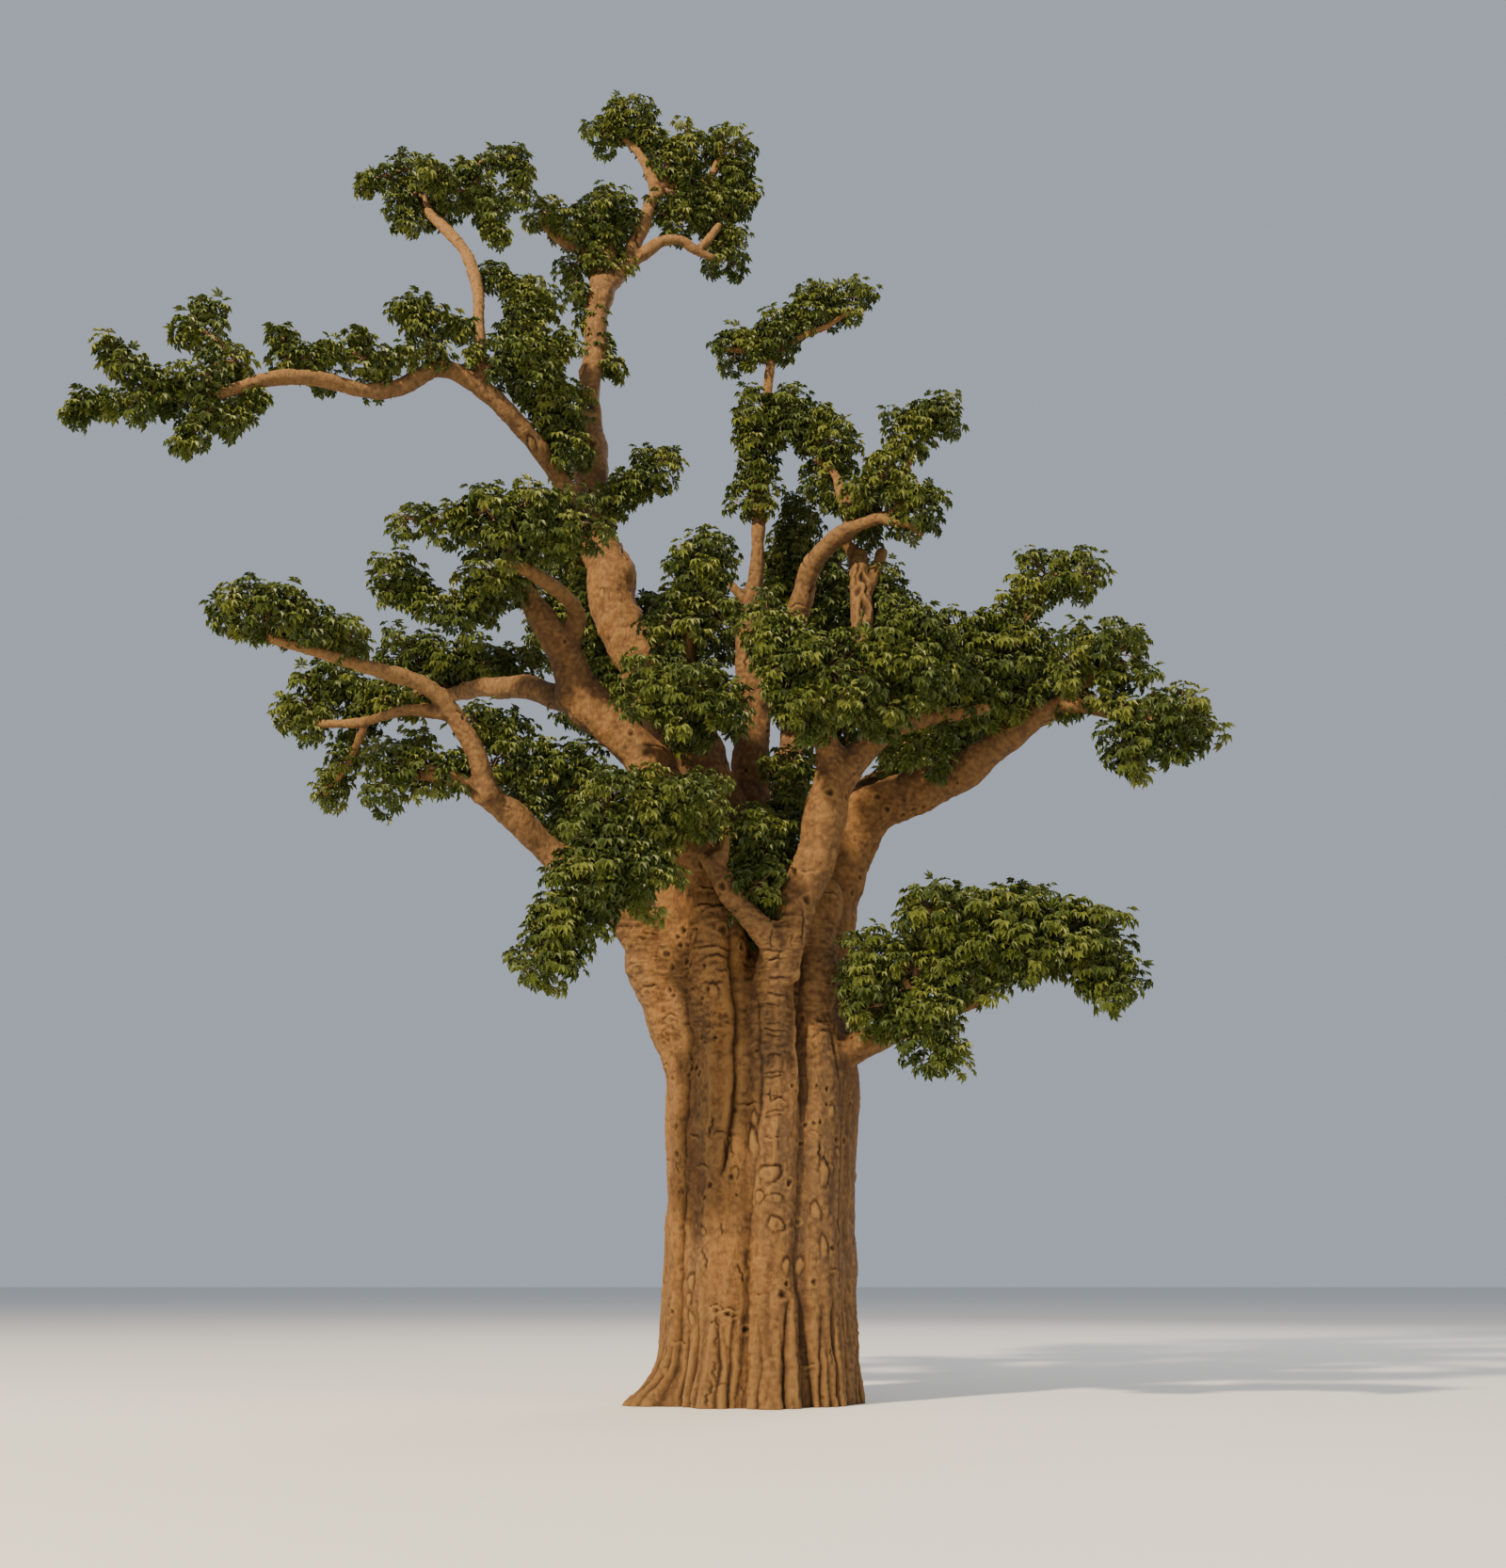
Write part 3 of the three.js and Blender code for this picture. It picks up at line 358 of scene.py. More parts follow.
# Wood that has grown together between limbs: points of x, y, z and radius
WEBS = (
    ((-0.9, -0.5, 5.0, 0.36), (-1.05, -0.6, 6.0, 0.34), (-1.18, -0.65, 6.7, 0.28),
     (-1.32, -0.6, 7.35, 0.2)),
    ((0.55, -0.6, 5.2, 0.4), (0.75, -0.6, 6.2, 0.36), (0.95, -0.6, 6.9, 0.22)),
    ((-0.35, -0.4, 5.6, 0.5), (-0.45, -0.3, 6.6, 0.38), (-0.55, -0.3, 7.3, 0.22)),
)

# Small limbs that only the finished tree has: points of x, y, z and radius
BRANCHES = {
    "top_left_arm": (
        (-2.65, 1.3, 17.7, 0.13), (-2.9, 1.3, 18.32, 0.11), (-3.29, 1.25, 18.57, 0.09),
        (-3.69, 1.2, 18.88, 0.06)
    ),
    "top_stub": ((-2.62, 1.35, 17.7, 0.16), (-2.6, 1.4, 18.2, 0.15), (-2.56, 1.4, 18.5, 0.14)),
    "top_side": (
        (-2.25, 1.5, 18.25, 0.1), (-1.87, 1.55, 18.6, 0.1), (-1.68, 1.55, 18.74, 0.09),
        (-1.36, 1.6, 18.79, 0.08), (-1.07, 1.7, 18.65, 0.07), (-0.8, 1.8, 18.6, 0.05)
    ),
    "top_side_rise": (
        (-1.04, 1.7, 18.67, 0.06), (-0.86, 1.8, 18.97, 0.06), (-0.69, 1.9, 19.29, 0.04)
    ),
    "top_up_left": (
        (-1.75, 1.85, 19.8, 0.09), (-1.91, 1.8, 20.26, 0.08), (-2.15, 1.8, 20.7, 0.06),
        (-2.35, 1.8, 20.93, 0.05)
    ),
    "top_up_right": (
        (-1.6, 1.95, 20.1, 0.06), (-0.95, 2.1, 20.25, 0.07), (-0.72, 2.1, 20.68, 0.06),
        (-0.63, 2.1, 21.06, 0.04)
    ),
    "centre_arm": (
        (-0.15, 1.1, 11.7, 0.1), (-0.22, 1.12, 12.01, 0.08), (-0.41, 1.1, 12.23, 0.07),
        (-0.57, 1.05, 12.5, 0.05)
    ),
    "arch_rise": (
        (1.3, -0.1, 12.6, 0.12), (1.43, 0.1, 12.96, 0.1), (1.29, 0.3, 13.5, 0.09),
        (1.19, 0.6, 13.99, 0.07), (0.93, 0.8, 14.33, 0.05)
    ),
    "arch_tuft": (
        (2.1, -0.55, 12.8, 0.07), (2.19, -0.6, 13.24, 0.06), (2.22, -0.6, 13.52, 0.06),
        (2.34, -0.6, 13.82, 0.04)
    ),
    "arch_fall": (
        (1.8, -0.5, 12.74, 0.06), (2.09, -0.6, 12.61, 0.045), (2.28, -0.62, 12.57, 0.04),
        (2.42, -0.65, 12.41, 0.025)
    ),
    "tip_left": (
        (0.17, 1.6, 16.47, 0.05), (-0.02, 1.55, 16.62, 0.045), (-0.32, 1.5, 16.66, 0.04),
        (-0.65, 1.5, 16.68, 0.03)
    ),
    "tip_right": (
        (0.2, 1.6, 16.5, 0.05), (0.63, 1.65, 16.95, 0.045), (1.11, 1.7, 17.19, 0.04),
        (1.58, 1.7, 17.52, 0.03)
    ),
    "crown_stem": (
        (3.72, -1.35, 10.65, 0.07), (3.94, -1.3, 10.93, 0.06), (4.11, -1.3, 11.22, 0.05),
        (4.31, -1.3, 11.48, 0.03)
    ),
    "outer_stem": ((4.5, -1.55, 9.7, 0.07), (4.94, -1.75, 10.05, 0.05), (5.17, -1.85, 10.24, 0.03)),
    "left_low_spur": (
        (-2.2, -0.8, 6.9, 0.12), (-2.35, -0.75, 7.7, 0.1), (-2.5, -0.75, 8.2, 0.09),
        (-2.95, -0.75, 8.54, 0.05)
    ),
    "centre_rise": (
        (-0.85, -0.1, 9.3, 0.1), (-0.98, -0.7, 9.9, 0.09), (-1.0, -1.0, 10.46, 0.08),
        (-1.02, -1.1, 11.08, 0.06)
    ),
    "left_drop": (
        (-4.25, -2.15, 9.12, 0.1), (-4.92, -2.0, 9.22, 0.085), (-5.58, -1.7, 9.14, 0.07),
        (-6.3, -1.45, 9.18, 0.045)
    ),
    "left_drop_fall": (
        (-5.5, -1.72, 9.15, 0.05), (-5.8, -1.4, 8.62, 0.04), (-6.15, -1.2, 8.22, 0.03)
    ),
    "left_low_arm": (
        (-3.68, -1.65, 8.02, 0.12), (-4.12, -1.85, 8.2, 0.1), (-4.5, -1.9, 8.3, 0.085),
        (-4.8, -1.95, 8.28, 0.05)
    ),
    "fork_stub": (
        (-0.48, -1.62, 6.85, 0.14), (-0.72, -1.62, 7.12, 0.09), (-0.84, -1.6, 7.24, 0.04)
    ),
    "fork_prong": ((-0.58, -1.6, 7.1, 0.11), (-0.49, -1.58, 7.36, 0.07), (-0.46, -1.56, 7.5, 0.03)),
    "twist_spur": ((1.58, 0.1, 11.7, 0.1), (1.82, 0.2, 12.2, 0.08), (1.9, 0.3, 12.5, 0.09)),
    "twist_knob": ((1.56, 0.3, 12.35, 0.12), (1.4, 0.3, 12.6, 0.09), (1.32, 0.25, 12.7, 0.07)),
    "back_rise_left": ((-1.5, 2.5, 9.6, 0.16), (-1.6, 2.3, 10.6, 0.13), (-1.7, 2.1, 11.6, 0.09)),
    "back_rise_mid": ((0.55, 3.0, 10.3, 0.16), (0.4, 2.9, 11.5, 0.12), (0.25, 2.8, 12.6, 0.08)),
    "back_rise_right": ((2.1, 2.9, 9.5, 0.15), (2.5, 2.9, 10.3, 0.11), (2.7, 3.0, 11.0, 0.08)),
    "tall_back": (
        (-1.5, 0.5, 10.2, 0.2), (-1.8, 1.3, 11.3, 0.15), (-2.6, 2.1, 12.4, 0.1),
        (-3.0, 2.1, 13.6, 0.08), (-3.0, 2.2, 14.5, 0.05)
    ),
    "low_right_side": ((1.9, 1.4, 5.9, 0.14), (2.8, 1.2, 6.1, 0.1), (3.7, 1.0, 6.4, 0.07)),
}

# Folds between the fused columns: depth, half width, then height and angle from foot to head
FOLDS = (
    (0.09, 0.1, (0, 218), (1.2, 216), (3.6, 217), (5, 223), (6, 228)),
    (0.14, 0.07, (2.9, 246), (3.65, 251.5), (4.3, 254.5), (5, 256), (5.7, 258), (6.6, 260)),
    (0.045, 0.05, (0, 258), (1.3, 262), (2.9, 265), (4.4, 269.5), (5.6, 269.5)),
    (0.12, 0.11, (3.7, 295), (5.2, 297.5), (6.4, 304)),
    (0.07, 0.12, (0, 297), (1, 296.5), (1.5, 294.5), (4.3, 295)),
    (0.05, 0.06, (3.6, 324), (4.4, 321), (5.2, 318.5)),
    (0.04, 0.045, (1.4, 324), (3, 325), (4.4, 326)),
    (0.12, 0.06, (0, 284.5), (0.7, 284), (1.5, 286)),
    (0.07, 0.045, (0, 306), (0.6, 306), (1.3, 308)),
    (0.09, 0.045, (0, 318), (0.6, 317), (1.4, 315)),
    (0.07, 0.045, (0, 330), (0.7, 329), (1.6, 327)),
    (0.11, 0.05, (0, 232), (0.6, 232), (1.4, 230)),
    (0.09, 0.045, (0, 249), (0.6, 248), (1.2, 246)),
    (0.06, 0.035, (0, 255), (0.7, 254), (1.3, 255)),
    (0.06, 0.045, (0, 225), (0.5, 225), (1.1, 223)),
    (0.06, 0.05, (0, 211), (0.4, 212), (1, 214)),
    (0.05, 0.035, (0, 270), (0.6, 271), (1.1, 269)),
    (0.1, 0.11, (0, 20), (2, 14), (4.5, 10), (6, 8)),
    (0.11, 0.1, (0, 41), (2.5, 45), (5.5, 40)),
    (0.09, 0.09, (0, 78), (2, 74), (5.8, 80)),
    (0.12, 0.1, (0, 112), (3, 116), (6, 108)),
    (0.09, 0.09, (0, 148), (2.2, 144), (5.6, 150)),
    (0.11, 0.1, (0, 186), (2, 182), (5.5, 190)),
    (0.07, 0.045, (0, 62), (0.6, 60), (1.4, 61)),
    (0.08, 0.045, (0, 98), (0.7, 96), (1.5, 98)),
    (0.07, 0.045, (0, 132), (0.6, 131), (1.3, 129)),
    (0.08, 0.045, (0, 170), (0.8, 168), (1.6, 171)),
    (0.07, 0.045, (0, 345), (0.7, 347), (1.4, 344)),
    (0.08, 0.045, (0, 2), (0.6, 0), (1.3, 3)),
)
# Raised lips beside the folds, told in the same way
RIDGES = (
    (0.06, 0.05, (3.9, 291.5), (5, 291), (5.6, 292), (6.3, 297)),
    (0.06, 0.12, (2, 339), (3.3, 336), (4.7, 335)),
    (0.09, 0.11, (0, 241), (0.7, 242.5), (1.3, 244)),
    (0.05, 0.08, (0, 266), (0.5, 266), (1.2, 268)),
    (0.06, 0.09, (0, 290), (0.6, 290), (1.2, 289)),
    (0.05, 0.09, (2.5, 275), (4, 279), (5.4, 279)),
    (0.05, 0.1, (2.2, 236), (3.5, 238), (5.4, 242)),
    (0.06, 0.1, (1.5, 62), (3.5, 60), (5.4, 62)),
    (0.06, 0.1, (1.5, 131), (3.5, 130), (5.4, 128)),
)

# Marks of the bark as seen from the front: kind, x, z, width and height
MARKS = (
    ("oval", -0.14, 3.36, 0.14, 0.4), ("oval", 0.9, 2.99, 0.17, 0.32),
    ("oval", -0.95, 1.58, 0.15, 0.22), ("oval", -0.29, 2.98, 0.09, 0.15),
    ("oval", 1.1, 2.2, 0.11, 0.25), ("oval", 0.58, 1.78, 0.11, 0.23),
    ("oval", 0.39, 1.78, 0.11, 0.23), ("oval", 0.79, 2.5, 0.13, 0.25),
    ("oval", 0.89, 2.02, 0.13, 0.28), ("oval", -1.0, 1.36, 0.11, 0.17),
    ("oval", 1.0, 3.83, 0.1, 0.2), ("oval", -0.82, 2.26, 0.1, 0.12),
    ("oval", -0.12, 3.68, 0.1, 0.2), ("ring", 0.09, 2.95, 0.33, 0.24),
    ("ring", 0.22, 2.62, 0.24, 0.14), ("ring", 0.24, 2.33, 0.26, 0.21),
    ("ring", -0.06, 2.66, 0.15, 0.17), ("crease", -0.73, 6.62, 0.42, 0.1),
    ("crease", -0.73, 6.89, 0.2, 0.08), ("crease", -0.68, 6.0, 0.48, 0.09),
    ("crease", -0.55, 5.84, 0.4, 0.1), ("crease", -0.69, 5.49, 0.28, 0.08),
    ("crease", -0.49, 5.67, 0.2, 0.1), ("crease", -1.28, 5.13, 0.26, 0.08),
    ("crease", 1.01, 6.4, 0.2, 0.06), ("crease", 0.13, 3.4, 0.22, 0.06),
    ("crease", 0.92, 4.93, 0.14, 0.07), ("crease", 0.3, 3.92, 0.2, 0.09),
    ("crease", -0.55, 3.5, 0.26, 0.08), ("crease", -0.35, 3.47, 0.2, 0.06),
    ("crease", -0.62, 1.3, 0.2, 0.07), ("crease", -0.4, 1.27, 0.24, 0.08),
    ("crease", -0.36, 1.16, 0.2, 0.07), ("crack", -0.53, 3.22, 0.07, 0.5),
    ("crack", -0.38, 3.3, 0.06, 0.35), ("crack", -0.35, 4.0, 0.06, 0.6),
    ("crack", -0.62, 0.95, 0.06, 0.45), ("pit", -1.34, 6.0, 0.11, 0.1),
    ("pit", -1.07, 5.9, 0.08, 0.09), ("pit", -1.19, 3.62, 0.08, 0.11),
    ("pit", -1.18, 3.27, 0.08, 0.11), ("pit", -1.13, 2.75, 0.06, 0.11),
    ("pit", -0.79, 2.68, 0.07, 0.07), ("pit", -1.16, 1.76, 0.06, 0.07),
    ("pit", 0.76, 3.63, 0.06, 0.07), ("pit", 0.85, 3.64, 0.06, 0.08),
    ("pit", 0.66, 3.62, 0.06, 0.07), ("pit", -0.1, 4.62, 0.07, 0.06),
    ("pit", -0.36, 3.46, 0.11, 0.08), ("pit", 1.2, 3.46, 0.13, 0.08),
    ("pit", -1.1, 2.02, 0.07, 0.07), ("pit", 1.0, 2.02, 0.07, 0.1), ("pit", 0.48, 4.1, 0.08, 0.06),
    ("pit", 0.8, 4.13, 0.06, 0.07), ("pit", 0.95, 4.11, 0.06, 0.1), ("pit", 0.94, 3.9, 0.06, 0.08),
    ("pit", 0.33, 1.42, 0.14, 0.11), ("pit", -0.62, 1.22, 0.09, 0.07),
    ("pit", -0.42, 1.21, 0.08, 0.07), ("knot", -0.48, 6.24, 0.12, 0.14),
    ("crack", 0.16, 6.02, 0.045, 0.3), ("crack", 0.44, 6.05, 0.04, 0.22),
    ("knot", 0.68, 6.62, 0.1, 0.14), ("knot", -0.2, 6.05, 0.1, 0.1),
    ("crack", 0.3, 5.86, 0.04, 0.2), ("crack", 0.62, 6.3, 0.06, 0.5),
    ("knot", -0.55, 6.75, 0.1, 0.12), ("pit", 2.1, 8.1, 0.1, 0.1), ("pit", 2.26, 8.12, 0.08, 0.09),
    ("pit", 2.38, 8.15, 0.07, 0.08), ("pit", 1.5, 7.25, 0.09, 0.08), ("pit", 1.38, 7.0, 0.08, 0.1),
    ("pit", -1.95, 10.6, 0.09, 0.1), ("pit", -1.8, 10.35, 0.12, 0.1),
    ("knot", -2.72, 15.3, 0.22, 0.34), ("knot", -2.66, 14.5, 0.16, 0.2),
    ("knot", 1.52, 10.5, 0.14, 0.24), ("knot", 1.66, 10.8, 0.12, 0.2),
    ("knot", 1.5, 11.1, 0.13, 0.22), ("knot", 1.62, 11.45, 0.14, 0.26),
    ("knot", 1.46, 11.75, 0.1, 0.2), ("knot", 1.6, 12.0, 0.12, 0.2),
    ("crack", 1.56, 11.3, 0.09, 0.9), ("crack", 1.48, 12.1, 0.08, 0.5),
    ("crack", 1.66, 11.9, 0.08, 0.6),
)
# Thin lines across the front column: x, then heights, gaps, widths and thickness from least to
# most, and how far they drift and tilt
LADDER_X = 0.21
LADDER_HEIGHTS = (3.7, 6.0)
LADDER_GAPS = (0.06, 0.255)
LADDER_WIDTHS = (0.192, 0.352)
LADDER_THICKNESS = (0.05, 0.08)
LADDER_DRIFT = 0.03
LADDER_TILT = 0.07
# Small pits crowded in the left column: how many, then x, z, size, and height in sizes
CROWD_COUNT = 14
CROWD_X = (-1.35, -0.8)
CROWD_HEIGHTS = (4.2, 6.3)
CROWD_SIZES = (0.04, 0.1)
CROWD_TALLNESS = (0.7, 1.2)
CROWD_TILT = 0.3
# Marks scattered over the trunk and the boughs: how many, and the size of the largest; then
# where on the trunk, and how thick the boughs are that have them
TRUNK_SCATTER = (190, 0.1)
BOUGH_SCATTER = (330, 0.11)
SCATTER_LEAST = 0.045
SCATTER_TILT = 0.2
SCATTER_FOOT = 0.1
SCATTER_SPLIT = 5.5
SCATTER_REACH = 2
SCATTER_GIRTH = 0.12
# What the scattered marks are, and their width and height in sizes
SCATTERED_KINDS = ("pit", "pit", "pit", "pit", "oval", "crease", "crease", "crack")
SCATTERED_SHAPES = {"pit": (1, 1.1), "oval": (1.4, 2.4), "crease": (2.4, 0.8), "crack": (0.8, 3.5)}
MARK_TILT = 0.08
MARK_SEED = 7

# Shapes of the marks, in half sizes. Waves of an edge: height, count and share of the phase
EDGE_WAVES = ((0.09, 2, 1), (0.08, 3, -1), (0.045, 5, 2), (0.03, 9, -1))
# How the phase steps from mark to mark, and how deep and how wide a mark reaches
PHASE_STEP = 1.7
MARK_DEPTH = 1.2
MARK_REACH = 2.3
# Hollows: fall-off of the hole and of the painted shade in it, half width of the lip, depth, lip's
# height and the paleness of the painted highlight on the lip
HOLLOWS = {"pit": (2.2, 0.35, 0.5, 0.1, 0.25), "knot": (1.6, 0.4, 0.42, 0.16, 0.4)}
LIP_PLACE = 1.35
# Scars: place and half width of the groove, rise inside, depth, strength of the painted shade in
# the groove, and paleness inside, the scar's own lighter tone
SCARS = {"oval": (1.1, 0.22, 0.11, 0.14, 0.75, 0.6), "ring": (0.95, 0.18, 0.08, 0.15, 0.5, 0.15)}
# Edge of a scar's inside: place and steepness; its groove: mean strength, how far it varies
# round the scar and the limit of its turn; the slit in a ring: drift, slant, half width,
# half height and strength
SCAR_EDGE = (0.8, 12)
SCAR_TOP = (0.6, 0.4, 0.9)
SLIT = (0.25, 0.12, 0.12, 0.5, 0.4)
# Grooves: half width, end, length of the fade, depth and strength of the painted shade in them
GROOVES = {
    "line": (0.42, 1.1, 0.4, 0.28, 0.75),
    "crack": (0.45, 1.05, 0.5, 0.4, 0.9),
    "crease": (0.28, 1.15, 0.5, 0.3, 0.7),
}
# Waves of a groove's course: height, rate and share of the phase
COURSES = {
    "line": ((0.3, 3.1, 1), (0.12, 9, 0)),
    "crack": ((-0.5, 4, 1), (-0.25, 11, -1)),
    "crease": ((0.22, 4.3, 1), (0.12, 11, -1)),
}
# How far a line slants, and how a crease bows: rise, mean bow and how far that varies
LINE_SLANT = 0.35
CREASE_BOW = (0.4, 0.45, 0.5)
# The roll beside a crease: place, half width, height and paleness, which is a painted highlight
ROLL = (0.9, 0.75, 0.2, 0.3)

# Numbers that scatter the cells of the noise
HASH_STEPS = (73856093, 19349663, 83492791)
HASH_SEED = 2654435
HASH_FACTOR = 1274126177

# Skin: fineness, and how the limbs are drawn before they grow together
VOXEL = 0.02
BARK_TRIANGLES = 300000
UPRIGHT = 0.9
TRUNK_SIDES = 180
TRUNK_STEP = 0.05
CUT_DEPTH = 0.3
DOME_FOOT = 5.6
DOME_TOP = 7.0
HEART_GIRTH = 1.3
HEART_HEIGHTS = (0, 6, 0.2)
LIMB_SIDES = 24
LINE_STEP = 0.06
LEAST_RINGS = 6
CURVE_SAMPLES = 400
ROOT_FLARE = 0.22
FLARE_REACH = 0.7
LIMB_SWAY = 0.2
SWAY_SIZE = 0.6
SWAY_EASE = 0.5
SWAY_SEEDS = (100, 150, 200)
# Lumps along a limb: share of the radius, length and shift of the seed
LIMB_LUMPS = ((0.1, 0.55, 0), (0.08, 0.19, 50))
# Rings of a limb's round tip, in radii past its end
TIP_RINGS = (0.35, 0.7, 0.95)
# What smoothing takes off a limb, times its radius, and the least radius that this counts for
SHRINKAGE = 0.0006
SHRINKAGE_GIRTH = 0.04
# Reach of the smoothing, and its rounds where the reach is one voxel
SMOOTHING = 0.085
SMOOTHING_ROUNDS = 4
# Strength of the smoothing: most, girth with all of it, least share and power
SMOOTHING_STRENGTH = (0.5, 0.3, 0.06, 1.5)
# Search for hollows: strength, rounds at a fineness, that fineness and rounds more
HOLLOW_SEARCH = (0.5, 12, 0.02, 2)

# Grain of the bark: height, size, seed, drawn out along the trunk, lower on thin wood
GRAIN = (
    (0.028, 0.45, 1, False, True), (0.016, 0.17, 2, True, True), (0.009, 0.08, 3, True, True),
    (0.006, 0.055, 4, False, False), (0.005, 0.034, 5, False, False),
)
# Radius of wood with all of the grain, and the share that the thinnest keeps
FULL_GRAIN_GIRTH = 0.35
LEAST_GRAIN = 0.38
# How far the grain is drawn out upwards, up to what height, and how it fades there
DRAWN_OUT = 0.7
DRAWN_TOP = 6.5
DRAWN_FADE = 2
# Warp of creases and rolls: strength, size and seed; patches with creases: size, seed,
# contrast and shift
WARP = (0.9, 0.35, 9)
PATCHES = (0.8, 8, 2, 0.2)
# Creases and rolls of the bark: height or depth, size, seed, then half width or flatness
CREASES = (0.009, 0.15, 6, 0.2)
ROLLS = (0.005, 0.3, 7, (0.8, 0.8, 3))
# Ribs at the foot: count, top, least girth, then wander, its size and seed
RIBS = (11, 1.3, 0.6)
RIB_WANDER = (2.5, 0.5, 10)
RIB_DEPTH = 0.035
RIB_HEIGHT = 0.02

# Folds: degrees of wander, its rate and place in the noise
FOLD_WANDER = ((1.6, 1.7, 3), (0.7, 6, 8))
FOLD_SEED = 5
# How a fold fades in from its foot and out to its head
FOLD_FOOT = 0.3
FOLD_HEAD = 0.45
# Breaks of a fold: mean depth, spread, rate up the trunk, degrees round it and seed
FOLD_BREAKS = (0.8, 0.35, 2.3, 9, 12)
# Section of a fold: share that is round, share that is sharp, and how sharp
FOLD_SECTION = (0.55, 0.45, 3.5)
# How far from the middle and how high the folds go, and how they fade there
FOLD_REACH = 2.2
FOLD_TOP = 6.8
FOLD_FADE = 0.5

# Painted shade in folds: most, depth and power; in hollows: start, span and most. Paleness of
# crests, a painted highlight: span and most. Greyness of young wood: its radius, then share, start
# and span by height of the painted shade high up
FOLD_SHADE = (0.5, 0.08, 1.5)
HOLLOW_SHADE = (0.002, 0.011, 0.8)
CREST_PAINTED_HIGHLIGHT = (0.012, 0.5)
YOUNG_GIRTH = 0.42
HIGH_BOUGH_PAINTED_SHADE = (0.25, 6.5, 2.5)

# Where the bark and the crown are cut into pieces
TRUNK_TOP = 5.2
BARK_SPLIT = -0.55
RIM_HEIGHT = 1e-4
CROWN_BACK = 2.5
BACK_SPLIT = -1
CROWN_TOP = 12.8
TOP_SPLIT = -2.9
LEFT_EDGE = -2.4
RIGHT_EDGE = 1

# Twigs: radius at both ends, rings, sides and rise of the bow from least to most
LIMB_PLACES = 41
LIMB_CLEARANCE = 0.3
MASS_SEED = 101
TWIG_GIRTH = (0.036, 0.022)
STEM_GIRTH = (0.06, 0.036)
TWIG_RINGS = 9
TWIG_SIDES = 6
TWIG_BOW = (-0.06, 0.1)
TWIG_JITTER = 0.018
STALK_GIRTH = (0.016, 0.006)
STALK_RINGS = 3
STALK_SIDES = 3
STALK_BOW = (-0.12, 0.2)

# Tufts of leaves
FILL_SPACING = 0.55
FILL_SIZE = 0.78
ROOT_SIZE = 0.55
TUFTS_PER_AREA = 92
LEAST_TUFTS = 5
TUFT_DEPTH = (0.42, 1.05)
TUFT_CROWDING = 0.6
TUFT_SPREAD = 0.25
MASS_BUMPS = (0.22, 2.3, 21)
FRONT_REACH = -3.72
GOLDEN_ANGLE = math.pi * (3 - math.sqrt(5))

# Leaves. Each leaflet: angle in degrees and share of the length
LEAVES_PER_TUFT = 10
LEAFLETS = ((-78, 0.66), (-40, 0.9), (0, 1.0), (40, 0.9), (78, 0.66))
LEAFLET_LENGTH = (0.125, 0.172)
LEAFLET_WIDTH = 0.37
LEAFLET_MIDDLE = 0.58
LEAFLET_RISE = 0.1
LEAFLET_FALL = 0.28
PETIOLE = (0.06, 0.15)
PETIOLE_HALF = 0.005
PETIOLE_SAG = 0.15
DROOP = 0.75
LEAF_SPREAD = 0.15
TUFT_LIFT = 0.35
# Fan of a tuft: least angle from its axis and how far it opens, in degrees, then the spread
# of the angle from the axis and of the turn round it
TUFT_FAN = (12, 108)
POLAR_SPREAD = 0.16
TURN_SPREAD = 0.2
# What a leaf faces: shares of the tuft's axis, straight up and its own ray
LEAF_FACING = (0.6, 0.8, 0.4)
LEAF_GREENS = {
    "leaf_deep": (0.05, 0.075, 0.012),
    "leaf_green": (0.08, 0.108, 0.016),
    "leaf_light": (0.13, 0.155, 0.026),
}
LEAF_SHARES = (0.4, 0.38, 0.22)

# Colour of the bark. Each layer: if drawn out upwards, scale, detail and roughness of its noise,
# two stops of noise and share, and the colour laid over what is below
OCHRE = (0.3, 0.14, 0.04, 1)
BARK_LAYERS = (
    (True, 0.9, 6, 0.55, (0.42, 0.0), (0.6, 1.0), (0.17, 0.1, 0.052, 1)),
    (True, 2.3, 7, 0.55, (0.5, 0.0), (0.66, 0.7), (0.2, 0.075, 0.02, 1)),
    (True, 6, 9, 0.62, (0.47, 0.0), (0.64, 0.85), (0.4, 0.21, 0.065, 1)),
    (True, 24, 9, 0.7, (0.5, 0.0), (0.62, 0.6), (0.14, 0.068, 0.025, 1)),
    (False, 6, 12, 0.75, (0.48, 0.0), (0.6, 0.8), (0.11, 0.053, 0.02, 1)),
)
BARK_DRAWN_OUT = (1, 1, 0.2)
SPECK_SCALE = 13
SPECK_STOPS = ((0.0, 0.85), (0.22, 0.0))
SPECK_COLOUR = (0.05, 0.025, 0.011, 1)
# Painted shade at the foot of the trunk, strongest at the ground
FOOT_PAINTED_SHADE_STOPS = ((0.0, 0.62), (0.55, 0.0))
FOOT_PAINTED_SHADE_COLOUR = (0.1, 0.055, 0.025, 1)
# Greyer brown of thin young wood, its own colour, and of wood high up, painted shade of the crown
YOUNG_WOOD_AND_SHADE_STOPS = ((0.0, 0.0), (0.75, 0.8))
YOUNG_WOOD_AND_SHADE_COLOUR = (0.1, 0.056, 0.03, 1)
# Colour of the paleness: painted highlight on crests, lips and rolls, and the scars' own lighter
# tone
PALE_SCAR_AND_HIGHLIGHT_COLOUR = (0.44, 0.25, 0.085, 1)
# Colour of the painted shade in folds, hollows, pits and grooves
PAINTED_SHADE_COLOUR = (0.03, 0.015, 0.007, 1)
TWIG_COLOURS = ((0.12, 0.062, 0.03, 1), (0.2, 0.11, 0.055, 1))


def unit(vectors):
    """Vectors at length one."""
    return vectors / np.maximum(np.linalg.norm(vectors, axis=-1, keepdims=True), 1e-9)


